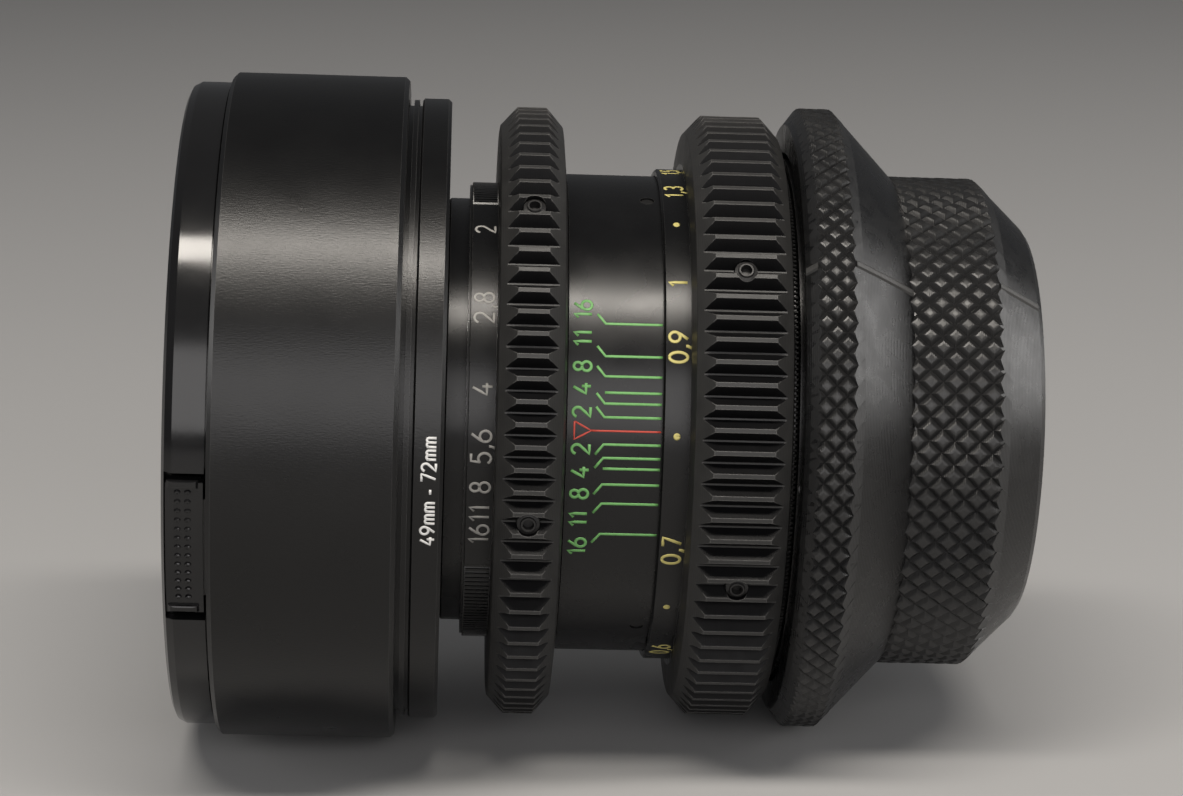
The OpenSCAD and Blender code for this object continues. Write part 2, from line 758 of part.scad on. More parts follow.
retainer_lip = 0.75;
l1_ring_in_r = l1_r - 0.9;
z_l1_ring = z_l1 + sag(r1, l1_ring_in_r) - 0.08;
module front_retainer() {
    color("black") lay() turn([
        [l1_r - 0.4, z_cell - retainer_lip], [cell_flange_r - 0.1, z_cell - retainer_lip],
        [cell_flange_r - 0.1, z_cell - 0.05], [l1_r, z_cell - 0.05], [l1_r, z_l1_ring],
        [l1_ring_in_r, z_l1_ring]
    ]);
}

module doublet_retainer() {
    color("black") lay() ring(l3_clear + 0.3, l2_r, z_l3_face + 0.02, z_l3_face + doublet_ring_t);
}

cell_screw_angles = [40, 140, 220, 320];
rear_flange_r = key_in_r - 0.7;
rear_flange_t = 1.4;
cell_screw_at = (rear_flange_r + rear_cell_r) / 2;
cell_screw_r = 0.6;
cell_head_r = 1.1;
module rear_cell() {
    color("dimgray") lay() difference() {
        turn([
            [l4_r + seat_fit, z_rear_cell], [rear_flange_r, z_rear_cell],
            [rear_flange_r, z_rear_cell + rear_flange_t], [rear_cell_r, z_rear_cell + rear_flange_t],
            [rear_cell_r, z_rear_cell_rear], [l6_r + seat_fit, z_rear_cell_rear],
            [l6_r + seat_fit, z_l6_seat],
            [l5_shoulder_r, z_l6_seat], [l5_shoulder_r, z_l5_seat], [l4_r + seat_fit, z_l5_seat]
        ]);
        for (a = cell_screw_angles) {
            stud(cell_screw_at, cell_screw_r + seat_fit, a, z_rear_cell - cut,
                z_rear_cell + rear_flange_t + cut);
        }
    }
}

module rear_cell_screws() {
    color("silver") lay() for (a = cell_screw_angles) {
        stud(cell_screw_at, cell_screw_r, a, z_seat + 0.2, z_rear_cell + rear_flange_t + 0.1);
        stud(cell_screw_at, cell_head_r, a, z_rear_cell + rear_flange_t + 0.03,
            z_rear_cell + rear_flange_t + 0.8);
    }
}

l6_ring_in_r = l6_r - 1.3;
z_l6_ring = z_l6_rear - sag(r10, l6_ring_in_r) + 0.08;
module rear_retainer() {
    color("black") lay() ring(l6_ring_in_r, l6_r, z_l6_ring, z_rear_cell_rear - 0.3);
}

// Six glass elements in four groups, each turned from the arcs of its two surfaces
arc_fn = 720;
module blank(radius, from, to) {
    translate([0, from]) square([radius, to - from]);
}
module arc(centre, radius) {
    translate([0, centre]) circle(r = radius, $fn = arc_fn);
}

module lens_1() {
    color("lightcyan") lay() rotate_extrude() difference() {
        intersection() {
            blank(l1_r, z_l1, z_l1_rear + sag(r2, l1_r) + cut);
            arc(z_l1 + r1, r1);
        }
        arc(z_l1_rear + r2, r2);
    }
}

module lens_2() {
    color("lightcyan") lay() rotate_extrude() difference() {
        intersection() {
            blank(l2_r, z_l2, z_l3 + sag(r4, l2_r) + cut);
            arc(z_l2 + r3, r3);
        }
        arc(z_l3 + r4, r4);
    }
}

module lens_3() {
    color("lightcyan") lay() rotate_extrude() difference() {
        intersection() {
            blank(l2_r, z_l3, z_l3_face);
            arc(z_l3 + cement + r4, r4);
        }
        arc(z_l3_rear + r5, r5);
    }
}

module lens_4() {
    color("lightcyan") lay() rotate_extrude() difference() {
        blank(l4_r, z_l4_face, z_l5 + sag(r7, l4_r) + cut);
        arc(z_l4 - r6, r6);
        arc(z_l5 + r7, r7);
    }
}

module lens_5() {
    color("lightcyan") lay() rotate_extrude() intersection() {
        blank(l4_r, z_l5, z_l5_rear);
        arc(z_l5 + cement + r7, r7);
        arc(z_l5_rear - r8, r8);
    }
}

module lens_6() {
    color("lightcyan") lay() rotate_extrude() intersection() {
        blank(l6_r, z_l6, z_l6_rear);
        arc(z_l6 + r9, r9);
        arc(z_l6_rear - r10, r10);
    }
}

// Iris: the seat carries the blades' pivots, and the cam's spiral slots swing them
blade_step = 360 / blade_n;
module iris_seat() {
    color("dimgray") lay() difference() {
        ring(stop_r + 0.15, heli_in_r - seat_fit, z_seat, z_seat_rear);
        for (k = [0:blade_n - 1]) {
            stud(pivot_r, pin_r + pin_fit, k * blade_step, z_seat - cut, z_seat_rear + cut);
        }
        for (a = key_angles) {
            rotate([0, 0, a]) translate([key_in_r - air, -key_w / 2 - air, z_seat - cut])
                cube([heli_in_r, key_w + 2 * air, seat_t + 2 * cut]);
        }
        for (a = seat_screw_angles) {
            spoke(seat_screw_in_r, heli_in_r + cut, seat_screw_r + seat_fit, a, z_seat_screw);
        }
        for (a = cell_screw_angles) {
            stud(cell_screw_at, cell_screw_r + seat_fit, a, z_seat + 0.15, z_seat_rear + cut);
        }
    }
}

module iris_seat_screws() {
    color("silver") lay() for (a = seat_screw_angles) {
        spoke(seat_screw_in_r + 0.05, heli_r - 0.1, seat_screw_r, a, z_seat_screw);
    }
}

// One spiral slot of the cam, from its mid line and half width
function slot_side(a, side) =
    let (
        p = slot_at(a),
        ahead = slot_at(a + 0.5),
        behind = slot_at(a - 0.5),
        along = (ahead - behind) / norm(ahead - behind)
    ) [p[0] - side * along[1] * slot_hw, p[1] + side * along[0] * slot_hw];
module cam_slot() {
    polygon(concat(
        [for (i = [0:slot_steps]) slot_side(i * ap_turn / slot_steps, 1)],
        [for (i = [slot_steps:-1:0]) slot_side(i * ap_turn / slot_steps, -1)]
    ));
}

module iris_cam() {
    color("darkgray") lay() difference() {
        turn([
            [cam_in_r, z_cam], [cam_r, z_cam], [cam_r, z_cam_floor + cam_t],
            [stop_r + 1.4, z_cam_floor + cam_t],
            [stop_r + 1.4, z_cam_floor], [cam_in_r, z_cam_floor]
        ]);
        for (k = [0:blade_n - 1]) {
            rotate([0, 0, k * blade_step]) {
                translate([0, 0, z_cam_floor - cut]) linear_extrude(height = cam_t + 2 * cut) cam_slot();
                for (a = [0, ap_turn]) {
                    translate([slot_at(a)[0], slot_at(a)[1], z_cam_floor - cut])
                        cylinder(h = cam_t + 2 * cut, r = slot_hw);
                }
            }
        }
        spoke(cam_in_r - cut, cam_r + cut, drive_pin_r + seat_fit, drive_angle, z_drive);
    }
}

// A blade in its own plane, with its pivot pin to the rear and its drive pin to the front
module blade_plan() {
    difference() {
        intersection() {
            circle(r = stop_r + blade_w);
            polygon([
                [0, 0], [2 * pivot_r, 0], [2 * pivot_r, 2 * pivot_r],
                [0, 2 * pivot_r], [2 * pivot_r * cos(blade_sweep), 2 * pivot_r * sin(blade_sweep)]
            ]);
        }
        circle(r = stop_r);
    }
    translate([pivot_r, 0]) circle(r = boss_r + 0.2);
    translate(drive_at(0)) circle(r = boss_r);
    translate([pivot_r, 0]) rotate(lever_0) translate([0, -boss_r]) square([lever_l, 2 * boss_r]);
}

module iris_blade(k) {
    plane = z_blade + k * blade_pitch;
    color("black") lay() rotate([0, 0, k * blade_step])
        translate([pivot_r, 0, 0]) rotate([0, 0, blade_rest]) translate([-pivot_r, 0, 0]) {
            translate([0, 0, plane]) linear_extrude(height = blade_t) blade_plan();
            translate([pivot_r, 0, plane]) cylinder(h = z_seat_rear - 0.1 - plane, r = pin_r);
            translate([drive_at(0)[0], drive_at(0)[1], z_cam_floor + 0.1])
                cylinder(h = plane + blade_t - z_cam_floor - 0.1, r = pin_r);
        }
}

module iris_blade_1() {
    iris_blade(0);
}
module iris_blade_2() {
    iris_blade(1);
}
module iris_blade_3() {
    iris_blade(2);
}
module iris_blade_4() {
    iris_blade(3);
}
module iris_blade_5() {
    iris_blade(4);
}
module iris_blade_6() {
    iris_blade(5);
}
module iris_blade_7() {
    iris_blade(6);
}
module iris_blade_8() {
    iris_blade(7);
}

// Aperture ring, its drive pin through the core, and the preset ring in front of it
module aperture_ring() {
    color("black") lay() difference() {
        ring(ring_in_r, aperture_r, z_ap + end_gap / 2, z_core_flange - end_gap);
        spoke(ring_in_r - cut, aperture_r + cut, drive_pin_r + seat_fit, drive_angle, z_drive);
    }
}

module drive_pin() {
    color("silver") lay() spoke(cam_in_r + 0.05, aperture_r - 0.05, drive_pin_r, drive_angle, z_drive);
}

number_zone = [-151, -49];
preset_chamfer = 0.3;
rib_core_r = preset_r - rib_depth - 0.05;
rib_step = 360 / rib_turn;
rib_count = floor((360 - number_zone[1] + number_zone[0]) / rib_step);
function rib_points(i) =
    let (a = number_zone[1] + i * rib_step, low = preset_r - rib_depth) [
        [preset_r * cos(a), preset_r * sin(a)],
        [low * cos(a + rib_step / 2), low * sin(a + rib_step / 2)]
    ];
module preset_ring() {
    z_rear = z_ap - end_gap / 2;
    z_front = z_preset + end_gap / 2;
    color("black") lay() {
        union() {
            turn([
                [ring_in_r, z_front], [preset_r - preset_chamfer, z_front],
                [rib_core_r, z_front + preset_chamfer], [rib_core_r, z_rear], [ring_in_r, z_rear]
            ]);
            translate([0, 0, z_front + preset_chamfer])
                linear_extrude(height = z_rear - z_front - preset_chamfer)
                difference() {
                    polygon(concat(
                        [for (i = [0:rib_count - 1]) for (p = rib_points(i)) p],
                        [for (a = [number_zone[0]:1:number_zone[1] - 1])
                            [preset_r * cos(a), preset_r * sin(a)]]
                    ));
                    circle(r = ring_in_r + 0.5);
                }
        }
    }
}

// Front cap: a disc with two spring-loaded tabs that are pinched at the rim
cap_skin = 0.35;
cap_plate = 2;
spigot_out_r = front_bore_r - 0.9;
spigot_wall = 2.4;
spigot_l = 1.75;
tab_hw = 6;
tab_gap = 0.2;
slot_hw_cap = pad_hw + 1.1;
tooth_r = front_bore_r - 0.2;
tooth_t = 1.4;
pad_in_r = cap_r - 2.75;
chamber = z_cap + cap_plate;
back_t = 1.2;
z_back = z_cap_rear - 0.3;
back_r = tooth_r - tooth_t - pinch - 0.3;
tab_in_r = 16;
tab_angle = pinch_angle - 90;
cap_bevel = 1.2;
module pinch_slot() {
    translate([pad_in_r - pinch - 0.3, -slot_hw_cap, z_cap + cap_skin])
        cube([cap_r, 2 * slot_hw_cap, cap_t + spigot_l + back_t]);
}

module front_cap() {
    color("black") lay() rotate([0, 0, tab_angle]) {
        difference() {
            turn([
                [0, z_cap + 0.4], [cap_r - 5, z_cap + 0.4], [cap_r - 4.6, z_cap],
                [cap_r - cap_bevel, z_cap], [cap_r - cap_bevel * 0.35, z_cap + cap_bevel * 0.3],
                [cap_r, z_cap + cap_bevel], [cap_r, z_cap_rear], [spigot_out_r, z_cap_rear],
                [spigot_out_r, z_ring + spigot_l], [spigot_out_r - spigot_wall, z_ring + spigot_l],
                [spigot_out_r - spigot_wall, chamber], [0, chamber]
            ]);
            for (a = [0, 180]) {
                rotate([0, 0, a]) pinch_slot();
            }
        }
        for (a = [0, 180]) {
            for (side = [-1, 1]) {
                rotate([0, 0, a]) translate([tab_in_r + 1, side * (tab_hw + tab_gap + 0.75) - 0.75,
                    chamber - 0.1])
                    cube([back_r - tab_in_r - 6, 1.5, z_back - chamber + 0.1]);
            }
        }
    }
}

module front_cap_back() {
    color("black") lay() ring(tab_in_r - 6, back_r, z_back, z_back + back_t);
}

module pinch_tab() {
    z_low = chamber + tab_gap;
    z_high = z_back - tab_gap;
    intersection() {
        union() {
            translate([tab_in_r + pinch, -tab_hw, z_low]) cube([cap_r, 2 * tab_hw, z_high - z_low]);
            translate([pad_in_r, -pad_hw, z_cap + cap_skin + tab_gap])
                cube([cap_r, 2 * pad_hw, z_high - z_cap - cap_skin - tab_gap]);
            translate([tooth_r - tooth_t, -pad_hw, z_high - 0.1])
                cube([cap_r, 2 * pad_hw, z_cap_rear - z_high]);
        }
        translate([0, 0, z_cap]) cylinder(h = cap_t, r = cap_r - 0.15);
    }
    intersection() {
        translate([tooth_r - tooth_t, -tab_hw, z_high - 0.1])
            cube([2 * tooth_t, 2 * tab_hw, z_ring + spigot_l - z_high]);
        translate([0, 0, z_cap]) cylinder(h = 2 * cap_t + spigot_l, r = tooth_r);
    }
}

module pinch_tab_near() {
    color("dimgray") lay() rotate([0, 0, tab_angle]) pinch_tab();
}

module pinch_tab_far() {
    color("dimgray") lay() rotate([0, 0, tab_angle + 180]) pinch_tab();
}

// Rear cap: a two-tier printed cup pushed over the mount until its shoulder meets the flange
mouth_r = flange_r + air;
rear_bore_r = lug_r + 0.15;
rear_front_r = mouth_r + rear_lip;
rear_band_r = mouth_r + rear_band;
rear_barrel_r = rear_bore_r + rear_wall;
rear_chamfer_l = 1.2;
rear_seat = 0.1;
z_rear_mouth = z_focus_rear + air;
z_band = z_rear_mouth + rear_chamfer_l;
z_taper = z_band + rear_band_l;
z_barrel = z_taper + rear_taper_l;
z_end_chamfer = z_barrel + rear_barrel_l;
z_end = z_end_chamfer + rear_end_l;
rear_end_step = 7;
rear_end_r = rear_barrel_r - rear_end_step;
rear_floor = 3.2;
end_round = 0.8;
module rear_cap() {
    color("darkslategray") lay() turn([
        [mouth_r, z_rear_mouth], [rear_front_r, z_rear_mouth], [rear_band_r, z_band],
        [rear_band_r, z_taper],
        [rear_barrel_r, z_barrel], [rear_barrel_r, z_end_chamfer],
        [rear_end_r + 2.5 * end_round, z_end - end_round],
        [rear_end_r + 1.5 * end_round, z_end - end_round * 0.3],
        [rear_end_r, z_end], [0, z_end],
        [0, z_end - rear_floor], [rear_end_r - 1.2, z_end - rear_floor],
        [rear_bore_r, z_end_chamfer - 2.4],
        [rear_bore_r, rear_seat], [mouth_r, rear_seat]
    ]);
}

base_barrel();
rear_plate();
rear_plate_screws();
guide_keys();
guide_key_screws();
mount_adapter();
adapter_screws();
focus_ring();
focus_ring_screws();
focus_helicoid();
helicoid_retainer();
focus_gear();
focus_gear_screws();
core_barrel();
core_screws();
helicoid_barrel();
scale_barrel();
scale_barrel_screws();
front_rim();
step_up_ring();
front_ring();
front_cell();
front_retainer();
doublet_retainer();
rear_cell();
rear_cell_screws();
rear_retainer();
lens_1();
lens_2();
lens_3();
lens_4();
lens_5();
lens_6();
iris_seat();
iris_seat_screws();
aperture_ring();
aperture_gear();
aperture_gear_screws();
iris_cam();
drive_pin();
preset_ring();
iris_blade_1();
iris_blade_2();
iris_blade_3();
iris_blade_4();
iris_blade_5();
iris_blade_6();
iris_blade_7();
iris_blade_8();
front_cap();
front_cap_back();
pinch_tab_near();
pinch_tab_far();
rear_cap();
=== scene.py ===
"""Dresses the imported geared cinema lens: finishes, filled scales, knurls, screws and a plain studio."""

import math

import bmesh
import bpy
from mathutils import Matrix, Vector


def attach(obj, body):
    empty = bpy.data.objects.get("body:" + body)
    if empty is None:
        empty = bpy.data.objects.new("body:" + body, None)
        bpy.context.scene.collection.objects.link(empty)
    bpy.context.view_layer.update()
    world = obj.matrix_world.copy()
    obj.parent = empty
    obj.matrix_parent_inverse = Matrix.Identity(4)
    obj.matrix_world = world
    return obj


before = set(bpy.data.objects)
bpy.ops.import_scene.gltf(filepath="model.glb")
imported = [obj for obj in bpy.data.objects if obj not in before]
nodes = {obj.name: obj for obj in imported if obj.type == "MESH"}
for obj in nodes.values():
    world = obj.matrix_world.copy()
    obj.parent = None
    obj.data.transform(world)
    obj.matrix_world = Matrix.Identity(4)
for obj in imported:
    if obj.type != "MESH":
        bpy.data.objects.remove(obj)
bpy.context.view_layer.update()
mm = 0.001


# Base barrel, rear plate and bayonet.
# A turned and enamelled base carries a bare plate with the threaded tail, and a plated bayonet is
# screwed to it. Two steel keys on the plate keep the optics from turning.
def blank_finish(name, rough, metal=0.0):
    finish = bpy.data.materials.new(name)
    finish.use_nodes = True
    tree = finish.node_tree
    shader = tree.nodes["Principled BSDF"]
    shader.inputs["Roughness"].default_value = rough
    shader.inputs["Metallic"].default_value = metal
    where = tree.nodes.new("ShaderNodeTexCoord").outputs["Object"]
    return finish, tree, shader, where


def blend(tree, share, first, second):
    """A colour between two tones or sockets; a colour Mix keeps them in its sockets 6, 7 and 2."""
    mix = tree.nodes.new("ShaderNodeMix")
    mix.data_type = "RGBA"
    tree.links.new(share, mix.inputs[0])
    for socket, colour in ((mix.inputs[6], first), (mix.inputs[7], second)):
        if isinstance(colour, tuple):
            socket.default_value = (*colour, 1.0)
        else:
            tree.links.new(colour, socket)
    return mix.outputs[2]


def run_between(tree, value, start, end, low=0.0, high=1.0):
    """Runs from low to high while a value goes from start to end, and stops there."""
    spread = tree.nodes.new("ShaderNodeMapRange")
    spread.inputs["From Min"].default_value = start
    spread.inputs["From Max"].default_value = end
    spread.inputs["To Min"].default_value = low
    spread.inputs["To Max"].default_value = high
    tree.links.new(value, spread.inputs["Value"])
    return spread


def vector_step(tree, operation, *values):
    """One step of vector maths; a tuple is set on its socket, and anything else is linked to it."""
    step = tree.nodes.new("ShaderNodeVectorMath")
    step.operation = operation
    for socket, value in zip(step.inputs, values):
        if isinstance(value, tuple):
            socket.default_value = value
        else:
            tree.links.new(value, socket)
    return step


def mottle(tree, shader, where, tone, other, scale, rough=None):
    """Clouds between two tones, with the roughness drifting along."""
    cloud = tree.nodes.new("ShaderNodeTexNoise")
    cloud.inputs["Scale"].default_value = scale
    cloud.inputs["Detail"].default_value = 5.0
    tree.links.new(where, cloud.inputs["Vector"])
    tree.links.new(blend(tree, cloud.outputs["Fac"], tone, other), shader.inputs["Base Color"])
    if rough:
        thin, thick = 0.3, 0.7
        drift = run_between(tree, cloud.outputs["Fac"], thin, thick, *rough)
        tree.links.new(drift.outputs["Result"], shader.inputs["Roughness"])


def emboss(tree, shader, height, depth, strength):
    """Adds a relief to whatever relief the finish has."""
    bump = tree.nodes.new("ShaderNodeBump")
    bump.inputs["Distance"].default_value = depth
    bump.inputs["Strength"].default_value = strength
    tree.links.new(height, bump.inputs["Height"])
    if shader.inputs["Normal"].links:
        tree.links.new(shader.inputs["Normal"].links[0].from_socket, bump.inputs["Normal"])
    tree.links.new(bump.outputs["Normal"], shader.inputs["Normal"])


def grain(tree, shader, where, size, depth, strength=1.0, run=1.0):
    """Fine pits, as anodising or moulding leaves, drawn out along the axis by a factor."""
    squeezed = vector_step(tree, "MULTIPLY", where, (1.0 / run, 1.0, 1.0))
    pits = tree.nodes.new("ShaderNodeTexNoise")
    pits.inputs["Scale"].default_value = 1.0 / size
    pits.inputs["Detail"].default_value = 3.0
    tree.links.new(squeezed.outputs["Vector"], pits.inputs["Vector"])
    emboss(tree, shader, pits.outputs["Fac"], depth, strength)


def turned(tree, shader, where, pitch, depth, strength=1.0, waver=0.6):
    """Lines round the optical axis, as a lathe tool or a printer's layers leave."""
    band_rate = 20
    lines = tree.nodes.new("ShaderNodeTexWave")
    lines.wave_type = "BANDS"
    lines.bands_direction = "X"
    lines.inputs["Scale"].default_value = 2 * math.pi / (band_rate * pitch)
    lines.inputs["Distortion"].default_value = waver
    lines.inputs["Detail"].default_value = 1.0
    lines.inputs["Detail Scale"].default_value = 0.4
    tree.links.new(where, lines.inputs["Vector"])
    emboss(tree, shader, lines.outputs["Fac"], depth, strength)


def paler_edges(tree, shader, where, width, tone, above=0.0):
    """Paler where two faces meet, from a radius outwards: wear on handled plastic and enamel, and on gear
    teeth also a painted highlight.
    """
    flat, sharp, fade = 0.985, 0.86, 0.3 * mm
    soft = tree.nodes.new("ShaderNodeBevel")
    soft.samples = 4
    soft.inputs["Radius"].default_value = width
    face = tree.nodes.new("ShaderNodeNewGeometry")
    agree = vector_step(tree, "DOT_PRODUCT", soft.outputs["Normal"], face.outputs["Normal"])
    edge = run_between(tree, agree.outputs["Value"], flat, sharp)
    across = vector_step(tree, "MULTIPLY", where, (0.0, 1.0, 1.0))
    radius = vector_step(tree, "LENGTH", across.outputs["Vector"])
    outer = run_between(tree, radius.outputs["Value"], above, above + fade)
    tree.links.new(edge.outputs["Result"], outer.inputs["To Max"])
    base = shader.inputs["Base Color"].links[0].from_socket
    tree.links.new(blend(tree, outer.outputs["Result"], base, tone), shader.inputs["Base Color"])


def dress(finish, *names):
    for name in names:
        nodes[name].data.materials.clear()
        nodes[name].data.materials.append(finish)


enamel, tree, shader, where = blank_finish("black_enamel", 0.27)
mottle(tree, shader, where, (0.003, 0.003, 0.0033), (0.006, 0.006, 0.0063), scale=160, rough=(0.24, 0.31))
shader.inputs["Specular IOR Level"].default_value = 0.42
turned(tree, shader, where, pitch=0.11 * mm, depth=0.0015 * mm)
grain(tree, shader, where, size=0.08 * mm, depth=0.002 * mm, strength=0.6)
paler_edges(tree, shader, where, width=0.08 * mm, tone=(0.055, 0.054, 0.052))
dress(enamel, "base_barrel")

bare, tree, shader, where = blank_finish("bare_aluminium", 0.34, metal=1.0)
mottle(tree, shader, where, (0.60, 0.60, 0.61), (0.50, 0.50, 0.52), scale=220, rough=(0.28, 0.42))
turned(tree, shader, where, pitch=0.14 * mm, depth=0.003 * mm)
dress(bare, "rear_plate")

plated, tree, shader, where = blank_finish("plated_bayonet", 0.16, metal=1.0)
mottle(tree, shader, where, (0.72, 0.72, 0.73), (0.62, 0.62, 0.64), scale=300, rough=(0.12, 0.24))
turned(tree, shader, where, pitch=0.20 * mm, depth=0.001 * mm)
dress(plated, "mount_adapter")

steel, tree, shader, where = blank_finish("plain_steel", 0.30, metal=1.0)
mottle(tree, shader, where, (0.50, 0.50, 0.52), (0.38, 0.38, 0.40), scale=900, rough=(0.24, 0.40))
grain(tree, shader, where, size=0.05 * mm, depth=0.002 * mm)
dress(steel, "rear_plate_screws", "guide_keys", "guide_key_screws", "adapter_screws")


# Brass focus helicoid and its retainer.
# The helicoid turns with the focus ring and drives the optics along. It is turned brass, greased, and
# steel screws join it to the ring.
brass, tree, shader, where = blank_finish("greased_brass", 0.28, metal=1.0)
mottle(tree, shader, where, (0.72, 0.53, 0.24), (0.55, 0.38, 0.15), scale=260, rough=(0.22, 0.40))
turned(tree, shader, where, pitch=0.30 * mm, depth=0.01 * mm)
dress(brass, "focus_helicoid", "helicoid_retainer")
dress(steel, "focus_ring_screws")


# Focus ring with its distance scale.
# A turned black ring; the distances in metres are engraved in its front collar and filled with
# yellow paint. Behind the gear a narrow strip of its ribbed grip shows.
lie_roll = math.radians(14)
dress(enamel, "focus_ring")


def on_barrel(station, angle, radius):
    """The point at a station along the axis and an angle down from the side that faces the viewer."""
    turn = angle - lie_roll
    return Vector((station, -radius * math.cos(turn), -radius * math.sin(turn)))


def bow(cx, cy, rx, ry, start, end, steps=14):
    turns = [math.radians(start + (end - start) * i / steps) for i in range(steps + 1)]
    return [(cx + rx * math.cos(a), cy + ry * math.sin(a)) for a in turns]


# Each letter is its advance and its strokes, on a height of one.
six = [(0.42, 1.0), (0.13, 0.6)] + bow(0.30, 0.29, 0.28, 0.29, 160, 520, 20)
strokes = {
    "0": (0.80, [bow(0.30, 0.50, 0.28, 0.50, 90, 450, 24)]),
    "1": (0.54, [[(0.06, 0.76), (0.28, 1.0), (0.28, 0.0)]]),
    "2": (0.80, [bow(0.29, 0.71, 0.27, 0.29, 165, -35) + [(0.03, 0.0), (0.58, 0.0)]]),
    "3": (0.78, [bow(0.27, 0.75, 0.23, 0.25, 150, -90) + bow(0.27, 0.26, 0.27, 0.26, 90, -150)]),
    "4": (0.82, [[(0.40, 1.0), (0.02, 0.28), (0.62, 0.28)], [(0.44, 0.52), (0.44, 0.0)]]),
    "5": (0.78, [[(0.53, 1.0), (0.14, 1.0), (0.09, 0.56)] + bow(0.28, 0.31, 0.28, 0.32, 130, -150)]),
    "6": (0.80, [six]),
    "7": (0.76, [[(0.03, 1.0), (0.57, 1.0), (0.20, 0.0)]]),
    "8": (0.82, [bow(0.30, 0.76, 0.22, 0.24, -90, 270, 18), bow(0.30, 0.27, 0.27, 0.27, 90, 450, 20)]),
    "9": (0.80, [[(0.6 - x, 1.0 - y) for x, y in six]]),
    ",": (0.34, [[(0.13, 0.10), (0.13, 0.0), (0.03, -0.22)]]),
    "-": (0.66, [[(0.08, 0.36), (0.44, 0.36)]]),
    "m": (
        0.90,
        [
            [(0.05, 0.0), (0.05, 0.68)],
            bow(0.21, 0.50, 0.16, 0.18, 180, 0, 8) + [(0.37, 0.0)],
            bow(0.53, 0.50, 0.16, 0.18, 180, 0, 8) + [(0.69, 0.0)],
        ],
    ),
    " ": (0.34, []),
}


def lettering(words, station, angle, height, radius):
    """Strokes of a word that reads upwards round a barrel, centred at a station and an angle."""
    letter_gap = 0.18
    length = sum(strokes[c][0] for c in words) - letter_gap
    along = -length / 2
    paths = []
    for c in words:
        advance, shapes = strokes[c]
        for shape in shapes:
            paths.append(
                [(station + (0.5 - y) * height, radius * angle - (along + x) * height) for x, y in shape]
            )
        along += advance
    return paths


def paint(name, paths, radius, width, finish, body):
    """Lays strokes of paint on a barrel; a path holds (station, distance round) points."""
    longest_step, film = 0.8 * mm, 0.03 * mm
    flat = bpy.data.curves.new(name, "CURVE")
    flat.dimensions = "3D"
    flat.bevel_depth = width / 2
    flat.bevel_resolution = 1
    flat.use_fill_caps = True
    for path in paths:
        dense = [path[0]]
        for a, b in zip(path, path[1:]):
            cuts = max(1, math.ceil(math.dist(a, b) / longest_step))
            for i in range(1, cuts + 1):
                dense.append((a[0] + (b[0] - a[0]) * i / cuts, a[1] + (b[1] - a[1]) * i / cuts))
        spline = flat.splines.new("POLY")
        spline.points.add(len(dense) - 1)
        for point, (x, s) in zip(spline.points, dense):
            point.co = (x, s, 0.0, 1.0)
    stand_in = bpy.data.objects.new(name + "_flat", flat)
    bpy.context.scene.collection.objects.link(stand_in)
    bpy.context.view_layer.update()
    mesh = bpy.data.meshes.new_from_object(stand_in.evaluated_get(bpy.context.evaluated_depsgraph_get()))
    bpy.data.objects.remove(stand_in)
    for v in mesh.vertices:
        v.co = on_barrel(v.co.x, v.co.y / radius, radius + v.co.z * 2 / width * film)
    made = bmesh.new()
    made.from_mesh(mesh)
    bmesh.ops.remove_doubles(made, verts=made.verts, dist=1e-7)
    bmesh.ops.recalc_face_normals(made, faces=made.faces)
    made.to_mesh(mesh)
    made.free()
    mesh.materials.clear()
    mesh.materials.append(finish)
    piece = bpy.data.objects.new(name, mesh)
    bpy.context.scene.collection.objects.link(piece)
    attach(piece, body)


def paint_finish(name, tone, faded):
    finish, tree, shader, where = blank_finish(name, 0.5)
    mottle(tree, shader, where, tone, faded, scale=1800, rough=(0.42, 0.6))
    grain(tree, shader, where, size=0.1 * mm, depth=0.004 * mm)
    return finish


distance_r, distance_at, distance_height = 29.78 * mm, -17.15 * mm, 2.1 * mm
yellow = paint_finish("yellow_fill", (0.70, 0.62, 0.22), (0.56, 0.49, 0.16))
distances = {
    "1,5": -77.5, "1,3": -61.8, "1": -30.0, "0,9": -14.85, "0,7": 31.8, "0,6": 70.5, "0,5": 126.0,
    "2": -116.0, "3": -152.0, "5": -176.0,
}
paths = []
for words, angle in distances.items():
    paths += lettering(words, distance_at, math.radians(angle), distance_height, distance_r)
paint("distance_scale", paths, distance_r, 0.38 * mm, yellow, "focus")
dot_r = 0.2 * mm
dots = []
for angle in (-47.6, 4.95, 48.9):
    dots.append(bow(distance_at, distance_r * math.radians(angle), dot_r, dot_r, 0, 360))
paint("distance_dots", dots, distance_r, 0.45 * mm, yellow, "focus")


